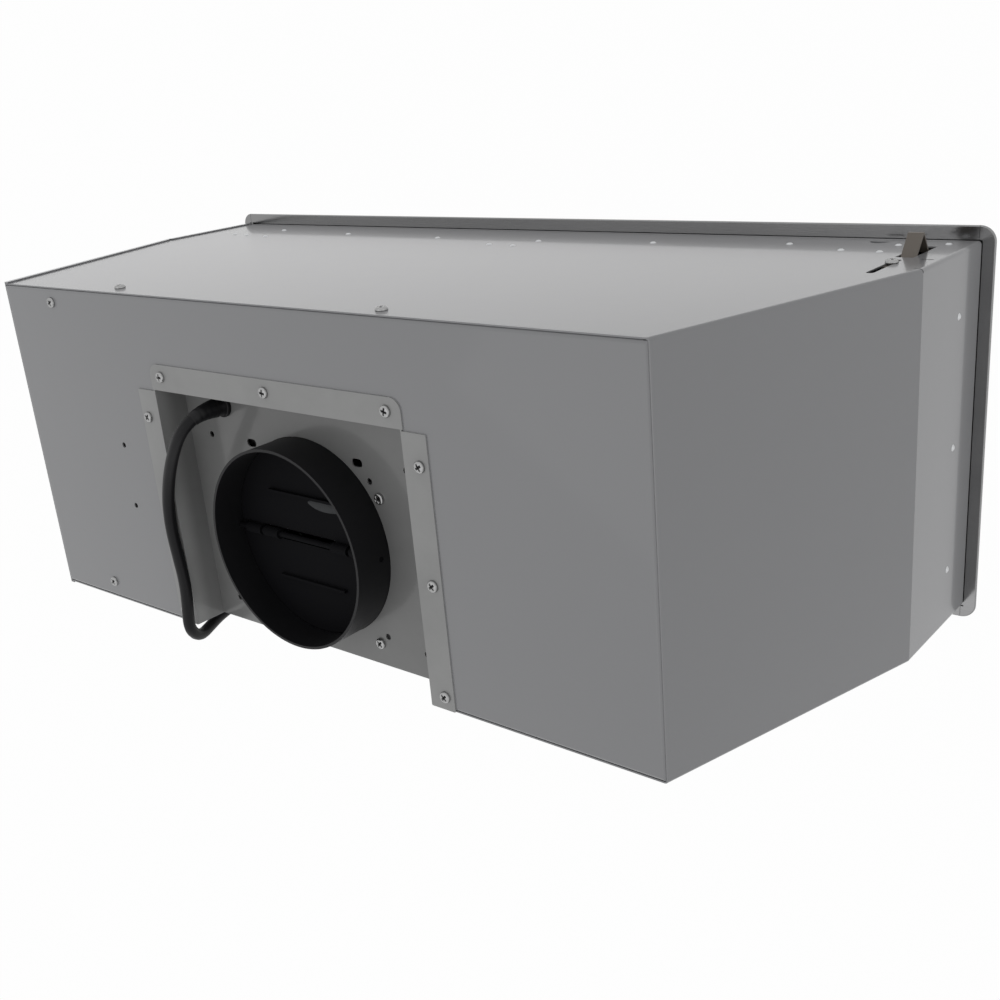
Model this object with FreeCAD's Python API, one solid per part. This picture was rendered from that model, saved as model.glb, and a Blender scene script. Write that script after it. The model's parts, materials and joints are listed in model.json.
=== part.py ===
import FreeCAD, Part
import math
import os

# Built-in ventilation hood, 30 inch class, standing as installed: the intake face lies at Z = 0,
# the duct collar points up (+Z), the front of the hood is -Y.  Lengths are millimetres.

V = FreeCAD.Vector
X_AXIS = V(1, 0, 0)
Y_AXIS = V(0, 1, 0)
Z_AXIS = V(0, 0, 1)
ORIGIN = V(0, 0, 0)

# Driving dimensions: housing
top_width = 620.0
base_width = 744.0
body_depth = 266.0
body_top = 316.0
flare_start = 106.0
body_bottom = 3.3
sheet = 1.0
wall_bend = 2.5
seam_gap = 0.15
top_flange_drop = 20.0

# Driving dimensions: face frame
face_overhang_x = 9.0
face_overhang_y = 10.0
frame_corner = 11.0
hem_thickness = 2.1
hem_clearance = 0.3
hem_seam = 0.3
upstand_height = 78.0
upstand_inset = 0.4
upstand_end_inset = 14.0
filter_bay_gap = 12.0
filter_bay_side_inset = 28.0
filter_bay_back_inset = 12.0
control_strip = 66.0
lip_gap = 0.1

# Driving dimensions: recess pan in the top
pan_half_width = 127.0
pan_front = -62.0
pan_depth = 25.0
pan_flange = 20.0
pan_corner = 9.0

# Driving dimensions: duct collar and its damper
collar_radius = 75.5
collar_wall = 2.0
collar_y = 42.5
collar_height = 31.0
neck_step = 0.9
neck_rise = 0.3
collar_flange = 2.5
damper_gap = 0.7
flap_thickness = 1.6
spindle_radius = 2.0
spindle_rise = 8.0
knuckle_wall = 1.9
running_gap = 0.08

# Driving dimensions: blower
impeller_radius = 70.0
blade_depth = 12.0
blade_count = 36
blade_thickness = 1.0
impeller_half_width = 54.0
blower_y = -18.0
blower_z = 150.0
scroll_step = 12.5
scroll_clearance = 8.0
scroll_half_width = 60.0
inlet_radius = 56.0
tongue_radius = 11.75
motor_radius = 44.0
motor_start = 13.0
motor_end = 86.0
shaft_radius = 4.0

# Driving dimensions: grease filters, lamps and controls
filter_thickness = 9.0
filter_lap = 4.0
filter_edge_radius = 1.0
filter_border = 14.0
baffle_count = 7
baffle_sheet = 0.8
lamp_radius = 26.0
lamp_inset = 97.0
button_count = 5
button_pitch = 24.0
button_size = 16.0

# Driving dimensions: fasteners
screw_head = 4.2
screw_head_height = 2.4
screw_shank = 2.0
screw_length = 6.0
screw_fit = 0.06
rivet_head = 2.4
rivet_head_height = 0.8

# Driving dimensions: mains cord
cord_radius = 4.65
coil_pitch = 10.0
coil_turns = 2
coil_tail = 25.0

# Heights and lines that follow from the sizes above
half_depth = body_depth / 2
half_base_width = base_width / 2
pan_floor = body_top - pan_depth
pan_top = body_top + sheet
collar_top = pan_floor + collar_height
spindle_z = pan_floor + spindle_rise
frame_width = base_width + 2 * face_overhang_x
frame_depth = body_depth + 2 * face_overhang_y
hem_ply = hem_thickness / 2
filter_bay_width = (base_width - filter_bay_gap) / 2 - filter_bay_side_inset
filter_bay_depth = body_depth - filter_bay_back_inset - control_strip
filter_bay_back = half_depth - filter_bay_back_inset
filter_front = filter_bay_back - filter_bay_depth - filter_lap
upstand_line = -(half_depth - upstand_inset - 2 * sheet)
strip_y = (filter_front + upstand_line) / 2
lamp_x = half_base_width - lamp_inset

os.makedirs("parts", exist_ok=True)


def box(x0, x1, y0, y1, z0, z1):
    return Part.makeBox(x1 - x0, y1 - y0, z1 - z0, V(x0, y0, z0))


def cylinder(radius, start, end):
    axis = end - start
    return Part.makeCylinder(radius, axis.Length, start, axis)


def tube(outer, inner, start, end):
    return cylinder(outer, start, end).cut(cylinder(inner, start, end))


def prism(points, extrusion):
    wire = Part.makePolygon(points + [points[0]])
    return Part.Face(wire).extrude(extrusion)


def rounded_box(x0, x1, y0, y1, z0, z1, radius):
    block = box(x0, x1, y0, y1, z0, z1)
    upright = [e for e in block.Edges if abs(e.BoundBox.ZLength - (z1 - z0)) < 1e-6]
    return block.makeFillet(radius, upright)


def fuse_all(shapes):
    return shapes[0].multiFuse(shapes[1:]).removeSplitter()


def export(node, shape):
    shape.exportStep("parts/" + node + ".step")


def group(node, shapes):
    export(node, Part.makeCompound(shapes))


def pan_screw(seat, direction, length):
    """Pan-head screw: its head stands on the seat and points along direction."""
    brim = seat + direction * screw_head_height * 0.5
    head = cylinder(screw_head, seat, brim)
    crown = Part.makeCone(screw_head, screw_head * 0.72, screw_head_height * 0.5, brim, direction)
    shank = cylinder(screw_shank, seat - direction * length, seat)
    return fuse_all([head, crown, shank])


def screw_hole(seat, direction, length):
    return cylinder(screw_shank + screw_fit, seat - direction * length, seat + direction * length)


def housing_outline(inset):
    """Corners of the flared housing in the X-Z plane, moved inwards by inset."""
    half_top = top_width / 2 - inset
    half_base = base_width / 2 - inset
    return half_top, half_base


def housing_block(inset, bend, z_low, z_high):
    """Flared block of the housing, its upright edges rounded by the bend radius."""
    half_top, half_base = housing_outline(inset)
    half_depth = body_depth / 2 - inset
    slope = (half_base - half_top) / (body_top - flare_start)
    x_high = half_top - slope * (z_high - body_top)
    side = [V(-half_base, -half_depth, z_low), V(-half_base, -half_depth, flare_start),
            V(-x_high, -half_depth, z_high), V(x_high, -half_depth, z_high),
            V(half_base, -half_depth, flare_start), V(half_base, -half_depth, z_low)]
    block = prism(side, V(0, 2 * half_depth, 0))
    upright = [e for e in block.Edges
               if e.BoundBox.YLength < 1e-6 and e.BoundBox.ZLength > 10 and abs(e.CenterOfMass.x) > half_top - 1]
    return block.makeFillet(bend, upright)


# Fastener seats that several pieces share
wall_screw_spots = {-1: [(170.5, body_top - 15.5), (-108.5, body_top - 12.5)],
                    1: [(170.0, body_top - 12.0), (-170.0, body_top - 12.0)]}
top_screw_spots = [(244.0, -121.0), (237.0, 118.0)]
pan_screw_side_x = 139.5
pan_screw_side_y = (-39.4, 41.6, 122.5)
pan_screw_front_x = (-115.3, 0.0, 115.3)
pan_screw_front_y = -72.7
collar_screw_spots = [(-73.0, 1.0), (73.0, 1.0), (-56.0, 115.0), (56.0, 115.0)]
pan_small_holes = [(-101.0, -23.0), (101.0, -23.0), (-101.0, 113.0), (101.0, 113.0)]
gland_x = 81.0
gland_y = -48.0
gland_hole = 6.6
clip_x = -(half_base_width - 26.0)
clip_screw_z = 90.5
clip_window = (29.0, 71.0)
clip_window_half = 6.0
clip_slot = (79.0, 126.0)
middle_rivets = [(184.0, 45.0), (69.0, 51.0), (-6.0, 73.0), (-32.0, 75.0), (-40.0, 52.0), (-143.0, 45.0)]
end_rivets = [(-1, 123.0, 34.0), (-1, 76.7, 52.0), (-1, 49.0, 54.0), (-1, 47.0, 27.0), (-1, 16.4, 18.2),
              (1, 50.0, 64.0), (1, 70.0, 66.0), (1, 102.0, 70.0), (1, 89.0, 35.0)]
rivet_spots = middle_rivets + [(end * (half_base_width - inset), z) for end, inset, z in end_rivets]
rivet_hole = 1.6
moon_radius = 7.0
moon_x = -(half_base_width - 64.7)
moon_z = 14.5
slit_x = -(half_base_width - 9.0)
slit_z = 75.5
slit_half_length = 4.0
slit_half_height = 0.8


def side_rivet_spots():
    return [(side, y, 40.0) for side in (-1, 1) for y in (-90.0, 0.0, 90.0)]


def wall_cuts(side):
    """Screw, rivet, slot and clip openings of the front (side -1) or back (side +1) wall."""
    y0 = side * half_depth - 4
    y1 = side * half_depth + 4
    cuts = [screw_hole(V(x, side * half_depth, z), V(0, side, 0), 4) for x, z in wall_screw_spots[side]]
    cuts += [cylinder(rivet_hole, V(x, y0, z), V(x, y1, z)) for x, z in rivet_spots]
    cuts.append(box(clip_x - clip_window_half, clip_x + clip_window_half, y0, y1, *clip_window))
    slot = box(clip_x - 2.5, clip_x + 2.5, y0, y1, clip_slot[0] + 2.5, clip_slot[1] - 2.5)
    for z in (clip_slot[0] + 2.5, clip_slot[1] - 2.5):
        slot = slot.fuse(cylinder(2.5, V(clip_x, y0, z), V(clip_x, y1, z)))
    cuts.append(slot)
    return cuts


def front_marks():
    """Half-moon knock-out and short slit near the front wall's right end, through the wall alone."""
    y0 = -half_depth - 1
    y1 = -half_depth + sheet + upstand_inset / 2
    disc = cylinder(moon_radius, V(moon_x, y0, moon_z), V(moon_x, y1, moon_z))
    moon = disc.common(box(moon_x - moon_radius, moon_x + moon_radius, y0, y1, moon_z, moon_z + moon_radius))
    slit = box(slit_x - slit_half_length, slit_x + slit_half_length, y0, y1,
               slit_z - slit_half_height, slit_z + slit_half_height)
    return [moon, slit]


def body_wrap():
    """Front wall, right wall and back wall, folded from one sheet."""
    top = body_top - 0.8
    shell = housing_block(0, wall_bend, body_bottom, top)
    shell = shell.cut(housing_block(sheet, wall_bend - sheet, body_bottom - 1, body_top + 5))
    left_cut_base = base_width / 2 - sheet - seam_gap
    left_cut_top = top_width / 2 - sheet - seam_gap
    slope = (left_cut_base - left_cut_top) / (body_top - flare_start)
    depth = half_depth + 5
    left = prism([V(left_cut_base, -depth, -5), V(left_cut_base, -depth, flare_start),
                  V(left_cut_top - slope * 10, -depth, body_top + 10), V(base_width, -depth, body_top + 10),
                  V(base_width, -depth, -5)], V(0, 2 * depth, 0))
    shell = shell.cut(left)
    notch = box(-pan_half_width - 0.3, pan_half_width + 0.3, half_depth - 5, half_depth + 5,
                pan_floor - sheet - 0.2, body_top + 5)
    relief = box(-base_width / 2 - 3, -base_width / 2 + 6, -half_depth - 1, -half_depth + wall_bend,
                 flare_start - 0.5, flare_start + 0.5)
    shell = shell.cut(notch).cut(relief)
    side_rivets = [cylinder(rivet_hole, V(-half_base_width - 4, y, z), V(-half_base_width + 4, y, z))
                   for side, y, z in side_rivet_spots() if side < 0]
    return shell.cut(Part.makeCompound(wall_cuts(-1) + wall_cuts(1) + front_marks() + side_rivets))


def left_side():
    """Flared left wall, with narrow lips lapped over the front and back walls."""
    lip = 4.5
    outer = []
    for inset, grow in ((0.0, sheet + lip_gap), (sheet, lip_gap)):
        half_top, half_base = housing_outline(inset)
        slope = (half_base - half_top) / (body_top - flare_start)
        low = body_bottom if inset == 0 else body_bottom - 2
        high = body_top - 0.8 if inset == 0 else body_top + 6
        x_high = half_top - slope * (high - body_top)
        depth = half_depth + grow
        section = [V(0, -depth, low), V(half_base, -depth, low), V(half_base, -depth, flare_start),
                   V(x_high, -depth, high), V(0, -depth, high)]
        outer.append(prism(section, V(0, 2 * depth, 0)))
    wall = outer[0].cut(outer[1])
    half_top, half_base = housing_outline(lip)
    slope = (half_base - half_top) / (body_top - flare_start)
    trim = prism([V(0, -body_depth, -5), V(half_base, -body_depth, -5), V(half_base, -body_depth, flare_start),
                  V(half_top - slope * 10, -body_depth, body_top + 10), V(0, -body_depth, body_top + 10)],
                 V(0, 2 * body_depth, 0))
    wall = wall.cut(trim)
    for side in (-1, 1):
        y = side * (half_depth + sheet)
        wall = wall.cut(box(half_base - 3, half_base + 2.5, y - 2.5, y + 2.5, flare_start - 1.5, flare_start + 1.5))
    holes = [cylinder(rivet_hole, V(half_base_width - 4, y, z), V(half_base_width + 4, y, z))
             for side, y, z in side_rivet_spots() if side > 0]
    return wall.cut(Part.makeCompound(holes))


def top_plate():
    """Top sheet with flanges turned down inside the walls and the cut-out for the recess pan."""
    inset = sheet + seam_gap
    half_top, half_base = housing_outline(inset)
    slope = (half_base - half_top) / (body_top - flare_start)
    plates = []
    for step in (0.0, sheet):
        low = body_top - top_flange_drop if step == 0 else body_top - top_flange_drop - 2
        high = body_top if step == 0 else body_top - sheet
        x_low = half_top - step + slope * (body_top - low)
        x_high = half_top - step + slope * (body_top - high)
        depth = half_depth - inset - step
        section = [V(-x_low, -depth, low), V(-x_high, -depth, high), V(x_high, -depth, high), V(x_low, -depth, low)]
        block = prism(section, V(0, 2 * depth, 0))
        rim = [e for e in block.Edges if abs(e.CenterOfMass.z - high) < 1e-6]
        plates.append(block.makeFillet(wall_bend - step * 0.9, rim))
    plate = plates[0].cut(plates[1])
    cut_x = pan_half_width + 0.3
    plate = plate.cut(box(-cut_x, cut_x, pan_front - sheet - 0.3, half_depth + 5, body_top - 40, body_top + 5))
    holes = [screw_hole(V(x, y, body_top), Z_AXIS, 5) for x, y in top_screw_spots + pan_screw_spots()]
    holes += [cylinder(2.2, V(182.5, y, body_top - 5), V(182.5, y, body_top + 5)) for y in (-11.0, 40.0)]
    for side in (-1, 1):
        seats = [V(x, side * (half_depth - 1.5), z) for x, z in wall_screw_spots[side]]
        holes += [screw_hole(seat, V(0, side, 0), 3) for seat in seats]
    notch = wall_bend + 0.5
    corner_x = half_top + slope * top_flange_drop
    corner_y = half_depth - inset
    for x0, x1 in ((-corner_x - 1, -half_top + notch), (half_top - notch, corner_x + 1)):
        for y0, y1 in ((-corner_y - 1, -corner_y + notch), (corner_y - notch, corner_y + 1)):
            holes.append(box(x0, x1, y0, y1, body_top - top_flange_drop - 1, body_top - sheet - 0.1))
    return plate.cut(Part.makeCompound(holes))


def pan_screw_spots():
    spots = [(side * pan_screw_side_x, y) for side in (-1, 1) for y in pan_screw_side_y]
    return spots + [(x, pan_screw_front_y) for x in pan_screw_front_x]


def recess_pan():
    """Folded pan that carries the collar: floor, three walls and three outward flanges."""
    wide = pan_half_width
    back = half_depth - sheet - 0.2
    body = box(-wide, wide, pan_front - sheet, back, pan_floor - sheet, pan_top)
    hollow = box(-wide + sheet, wide - sheet, pan_front, back + 5, pan_floor, pan_top + 5)
    pan = body.cut(hollow)
    side_flange = [rounded_box(wide - sheet, wide + pan_flange, pan_front + 1, half_depth - 0.5, body_top, pan_top, 0.9),
                   rounded_box(-wide - pan_flange, -wide + sheet, pan_front + 1, half_depth - 0.5, body_top, pan_top, 0.9)]
    front_flange = box(-wide - 1, wide + 1, pan_front - sheet - pan_flange + 1, pan_front, body_top, pan_top)
    corners = [e for e in front_flange.Edges
               if e.BoundBox.ZLength > sheet * 0.9 and e.CenterOfMass.y < pan_front - 5]
    front_flange = front_flange.makeFillet(pan_corner, corners)
    back_flange = box(-wide + 2, wide - 2, back - sheet, back, pan_floor - 14, pan_floor - sheet)
    pan = fuse_all([pan, side_flange[0], side_flange[1], front_flange, back_flange])
    cuts = [hollow]
    cuts += [screw_hole(V(x, y, pan_top), Z_AXIS, 4) for x, y in pan_screw_spots()]
    cuts += [screw_hole(V(x, y, pan_floor), Z_AXIS, 4) for x, y in collar_screw_spots]
    cuts += [cylinder(2.4, V(x, y, pan_floor - 4), V(x, y, pan_floor + 4)) for x, y in pan_small_holes]
    for x in (-55.0, 55.0):
        cuts.append(rounded_box(x - 5, x + 5, -25, -19, pan_floor - 4, pan_floor + 4, 2.9))
    cuts += [cylinder(2.4, V(x, y, pan_floor - 4), V(x, y, pan_floor + 4)) for x, y in ((-65.0, -10.0), (-64.0, 108.0))]
    cuts.append(cylinder(gland_hole, V(gland_x, gland_y, pan_floor - 4), V(gland_x, gland_y, pan_floor + 4)))
    cuts.append(cylinder(collar_radius + 0.3, V(0, collar_y, pan_floor - 4), V(0, collar_y, pan_floor + 4)))
    return pan.cut(Part.makeCompound(cuts))


def duct_collar():
    """Round spigot with a flange under the pan, a damper seat and bosses for the spindle."""
    under = pan_floor - sheet
    centre = V(0, collar_y, 0)
    inner = collar_radius - collar_wall
    neck_low = under - collar_flange
    neck_top = pan_floor + neck_rise
    spigot = tube(collar_radius, inner, centre + V(0, 0, neck_top), centre + V(0, 0, collar_top))
    neck = Part.makeCone(collar_radius - neck_step, collar_radius, neck_top - neck_low, centre + V(0, 0, neck_low))
    neck = neck.cut(cylinder(inner, centre + V(0, 0, neck_low - 1), centre + V(0, 0, neck_top + 1)))
    flange = rounded_box(-84, 84, collar_y - 52, collar_y + 82, under - collar_flange, under, 14)
    flange = flange.cut(cylinder(inner, centre + V(0, 0, under - 9), centre + V(0, 0, under + 9)))
    seat_z = spindle_z - spindle_radius - knuckle_wall
    seat = tube(inner + 0.5, inner - 3.5, centre + V(0, 0, seat_z - 2.5), centre + V(0, 0, seat_z))
    collar = fuse_all([spigot, neck, flange, seat])
    bore = cylinder(spindle_radius + running_gap, centre + V(-90, 0, spindle_z), centre + V(90, 0, spindle_z))
    holes = [screw_hole(V(x, y, under), Z_AXIS, 4) for x, y in collar_screw_spots]
    return collar.cut(Part.makeCompound(holes + [bore]))


def damper_flap(side):
    """Half disc with two knuckles round the spindle; side -1 is the front flap."""
    radius = collar_radius - collar_wall - damper_gap
    centre = V(0, collar_y, 0)
    plate_low = spindle_z - spindle_radius - knuckle_wall + 0.3
    barrel = spindle_radius + knuckle_wall
    disc = cylinder(radius, centre + V(0, 0, plate_low), centre + V(0, 0, plate_low + flap_thickness))
    half = disc.common(box(-90, 90, collar_y, collar_y + 90, plate_low - 1, plate_low + 9))
    half = half.cut(box(-90, 90, collar_y - 1, collar_y + barrel + 0.5, plate_low - 1, plate_low + 9))
    starts = (-63.0, 28.0)
    knuckles = []
    for start in starts:
        leaf = box(start, start + 16, collar_y, collar_y + barrel + 4, plate_low, plate_low + flap_thickness)
        barrel_solid = cylinder(barrel, V(start, collar_y, spindle_z), V(start + 16, collar_y, spindle_z))
        barrel_solid = barrel_solid.cut(box(-90, 90, collar_y - 9, collar_y + 9, spindle_z - 9, plate_low))
        knuckles += [leaf, barrel_solid]
    rib = box(-34, 34, collar_y + radius * 0.45, collar_y + radius * 0.45 + 2, plate_low + 0.5, plate_low + 4.5)
    flap = fuse_all([half, rib] + knuckles)
    flap = flap.cut(cylinder(spindle_radius + running_gap, V(-90, collar_y, spindle_z), V(90, collar_y, spindle_z)))
    if side < 0:
        flap.rotate(V(0, collar_y, spindle_z), Z_AXIS, 180)
    return flap


def damper_spindle():
    reach = collar_radius - 0.3
    return cylinder(spindle_radius, V(-reach, collar_y, spindle_z), V(reach, collar_y, spindle_z))


def scroll_profile(grow):
    """Closed wire of the scroll in the Y-Z plane: three quarter arcs, a tongue and the outlet walls."""
    r1 = impeller_radius + scroll_clearance + scroll_step / 2
    r2 = r1 + scroll_step
    r3 = r2 + scroll_step
    a = blower_y + scroll_step / 2
    b = blower_z + scroll_step / 2
    c3 = (a, b)
    c2 = (a, b - scroll_step)
    c1 = (a - scroll_step, b - scroll_step)
    outer_wall = a + r3 + grow
    nose_top = c1[1] + r1 + tongue_radius
    inner_wall = c1[0] + tongue_radius - grow
    nose = tongue_radius - grow
    k = math.sqrt(0.5)

    def arc(centre, radius, angle_from, angle_mid, angle_to):
        pts = [V(0, centre[0] + radius * math.cos(math.radians(t)), centre[1] + radius * math.sin(math.radians(t)))
               for t in (angle_from, angle_mid, angle_to)]
        return Part.Arc(*pts).toShape()

    def line(y0, z0, y1, z1):
        return Part.LineSegment(V(0, y0, z0), V(0, y1, z1)).toShape()

    top = pan_floor - sheet - collar_flange
    edges = [line(inner_wall, top, inner_wall, nose_top)]
    edges.append(arc((c1[0], nose_top), nose, 0, -45, -90))
    edges.append(arc(c1, r1 + grow, 90, 135, 180))
    edges.append(arc(c2, r2 + grow, 180, 225, 270))
    edges.append(arc(c3, r3 + grow, 270, 315, 360))
    edges.append(line(outer_wall, c3[1], outer_wall, top))
    edges.append(line(outer_wall, top, inner_wall, top))
    return Part.Wire(edges)


def outlet_walls():
    """Y of the outlet's two walls, on the air side."""
    a = blower_y + scroll_step / 2
    r3 = impeller_radius + scroll_clearance + scroll_step * 2.5
    return a - scroll_step + tongue_radius, a + r3


def scroll_wrap():
    top = pan_floor - sheet - collar_flange
    width = 2 * scroll_half_width
    outer = Part.Face(scroll_profile(sheet)).extrude(V(width, 0, 0))
    inner = Part.Face(scroll_profile(0)).extrude(V(width, 0, 0))
    wrap = outer.cut(inner).translated(V(-scroll_half_width, 0, 0))
    inner_y, outer_y = outlet_walls()
    flange = box(-scroll_half_width, scroll_half_width, outer_y, outer_y + 25, top - sheet, top)
    wrap = wrap.fuse(flange).removeSplitter()
    holes = [screw_hole(V(x, y, top), Z_AXIS, 4) for x, y in collar_screw_spots if y > outer_y]
    return wrap.cut(Part.makeCompound(holes))


def scroll_side(side):
    """Flat scroll cheek with a rolled inlet ring and a top flange for the screws."""
    top = pan_floor - sheet - collar_flange
    cheek = Part.Face(scroll_profile(sheet)).extrude(V(sheet, 0, 0)).translated(V(scroll_half_width, 0, 0))
    inner_y, outer_y = outlet_walls()
    flange = box(scroll_half_width, scroll_half_width + 24, inner_y, outer_y, top - sheet, top)
    cheek = cheek.fuse(flange)
    centre = V(0, blower_y, blower_z)
    lip = 6.0
    roll = centre + V(scroll_half_width + sheet - lip, 0, 0)
    ring = Part.makeTorus(inlet_radius + lip, lip, roll, X_AXIS)
    ring = ring.cut(Part.makeTorus(inlet_radius + lip, lip - sheet, roll, X_AXIS))
    ring = ring.common(tube(inlet_radius + lip, inlet_radius - 1, roll, roll + V(lip, 0, 0)))
    hole = cylinder(inlet_radius + lip, centre + V(scroll_half_width - 5, 0, 0), centre + V(scroll_half_width + 9, 0, 0))
    cheek = cheek.cut(hole).fuse(ring).removeSplitter()
    cuts = [screw_hole(V(x, y, top), Z_AXIS, 4) for x, y in collar_screw_spots if x > scroll_half_width]
    cuts += [screw_hole(V(scroll_half_width + sheet, y, z), X_AXIS, 4) for y, z in bracket_screw_spots()]
    cheek = cheek.cut(Part.makeCompound(cuts))
    if side < 0:
        cheek = cheek.mirror(ORIGIN, X_AXIS)
    return cheek


def bracket_screw_spots():
    radius = inlet_radius + 14
    return [(blower_y + radius * math.cos(math.radians(t)), blower_z + radius * math.sin(math.radians(t)))
            for t in (45, 135, 225, 315)]


def impeller():
    """Double-inlet squirrel cage: centre disc, hub, forward-curved blades and two end rings."""
    outer = impeller_radius
    inner = impeller_radius - blade_depth
    axis = V(0, blower_y, blower_z)
    disc = cylinder(outer - 0.5, axis + V(-0.75, 0, 0), axis + V(0.75, 0, 0))
    hub = cylinder(9.0, axis + V(-12, 0, 0), axis + V(6, 0, 0))
    rings = [tube(outer + 1.0, inner + 1.0, axis + V(x, 0, 0), axis + V(x + 2.0, 0, 0))
             for x in (-impeller_half_width, impeller_half_width - 2.0)]
    p_in = V(0, inner + 0.4, 0)
    p_out = V(0, (outer - 0.4) * math.cos(math.radians(7)), (outer - 0.4) * math.sin(math.radians(7)))
    mid = (p_in + p_out) * 0.5
    chord = p_out - p_in
    normal = V(0, chord.z, -chord.y)
    normal.normalize()
    bow = blade_depth * 0.24
    edges = []
    for shift in (0.0, blade_thickness):
        offset = normal * shift
        edges.append(Part.Arc(p_in + offset, mid + normal * bow + offset, p_out + offset).toShape())
    ends = [edge.Vertexes[0].Point for edge in edges] + [edge.Vertexes[-1].Point for edge in edges]
    wire = Part.Wire(Part.__sortEdges__(edges + [Part.LineSegment(ends[0], ends[1]).toShape(),
                                                 Part.LineSegment(ends[2], ends[3]).toShape()]))
    blade = Part.Face(wire).extrude(V(2 * impeller_half_width - 1, 0, 0)).translated(V(-impeller_half_width + 0.5, 0, 0))
    blades = []
    for i in range(blade_count):
        copy = blade.copy()
        copy.rotate(ORIGIN, X_AXIS, 360.0 * i / blade_count)
        copy.translate(axis)
        blades.append(copy)
    wheel = disc.multiFuse([hub] + rings + blades)
    bore = cylinder(shaft_radius + 0.02, axis + V(-20, 0, 0), axis + V(20, 0, 0))
    return wheel.cut(bore)


def motor_shaft():
    axis = V(0, blower_y, blower_z)
    return cylinder(shaft_radius, axis + V(-15, 0, 0), axis + V(motor_start - 0.3, 0, 0))


def motor():
    """Can motor: drawn cup, end bell with a bearing boss and cooling slots."""
    axis = V(0, blower_y, blower_z)
    can = cylinder(motor_radius, axis + V(motor_start + 4, 0, 0), axis + V(motor_end, 0, 0))
    front = [e for e in can.Edges if abs(e.CenterOfMass.x - motor_start - 4) < 0.1 and e.Length > 10]
    can = can.makeFillet(5, front)
    boss = cylinder(14, axis + V(motor_start, 0, 0), axis + V(motor_start + 5, 0, 0))
    motor_body = can.fuse(boss)
    slots = []
    for i in range(10):
        slot = box(motor_start + 14, motor_start + 26, blower_y - 4, blower_y + 4,
                   blower_z + motor_radius - 4, blower_z + motor_radius + 4)
        slot.rotate(axis, X_AXIS, 36.0 * i)
        slots.append(slot)
    return motor_body.cut(Part.makeCompound(slots)).removeSplitter()


def motor_bracket():
    """Spider: a disc behind the motor with four arms cranked down to the scroll cheek."""
    axis = V(0, blower_y, blower_z)
    face = motor_end
    seat = scroll_half_width + sheet
    disc = cylinder(30, axis + V(face, 0, 0), axis + V(face + 2, 0, 0))
    foot_radius = inlet_radius + 14
    knee = inlet_radius + 4
    arms = []
    for turn in (45, 135, 225, 315):
        profile = [V(face, -7, 20), V(face + 2, -7, 20), V(face + 2, -7, knee + 2), V(seat + 2, -7, foot_radius - 4),
                   V(seat + 2, -7, foot_radius + 8), V(seat, -7, foot_radius + 8), V(seat, -7, foot_radius - 5.5),
                   V(face, -7, knee + 0.5)]
        arm = prism(profile, V(0, 14, 0))
        arm.rotate(ORIGIN, X_AXIS, turn - 90)
        arm.translate(axis)
        arms.append(arm)
    bracket = fuse_all([disc] + arms)
    holes = [screw_hole(V(seat + 2, y, z), X_AXIS, 6) for y, z in bracket_screw_spots()]
    holes += [screw_hole(V(face + 2, y, blower_z), X_AXIS, 6) for y in (blower_y - 22, blower_y + 22)]
    return bracket.cut(Part.makeCompound(holes))


def wall_line(side, depth_in):
    """Y of a plane lying depth_in inside the outer face of the front (-1) or back (+1) wall."""
    return side * (half_depth - depth_in)


def slab(x0, x1, ya, yb, z0, z1):
    return box(x0, x1, min(ya, yb), max(ya, yb), z0, z1)


def filter_bays():
    centre = (filter_bay_gap + filter_bay_width) / 2
    return [(-centre - filter_bay_width / 2, -centre + filter_bay_width / 2),
            (centre - filter_bay_width / 2, centre + filter_bay_width / 2)]


def hem_ring():
    """Folded-back ply round the face's edge, with rounded outer corners and a seam near each end of the long sides."""
    half_w = frame_width / 2
    half_d = frame_depth / 2
    ring = rounded_box(-half_w, half_w, -half_d, half_d, hem_ply, hem_thickness, frame_corner)
    rim = [e for e in ring.Edges if abs(e.CenterOfMass.z - hem_thickness) < 1e-6]
    ring = ring.makeFillet(hem_ply * 0.85, rim)
    x_in = half_base_width + hem_clearance
    y_in = half_depth + sheet + lip_gap + hem_clearance
    seams = [box(end - hem_seam / 2, end + hem_seam / 2, y0, y1, hem_ply, hem_thickness + 1)
             for end in (-half_w + frame_corner, half_w - frame_corner)
             for y0, y1 in ((-half_d - 1, -y_in), (y_in, half_d + 1))]
    return ring.cut(box(-x_in, x_in, -y_in, y_in, 0, hem_thickness + 1)).cut(Part.makeCompound(seams))


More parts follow.
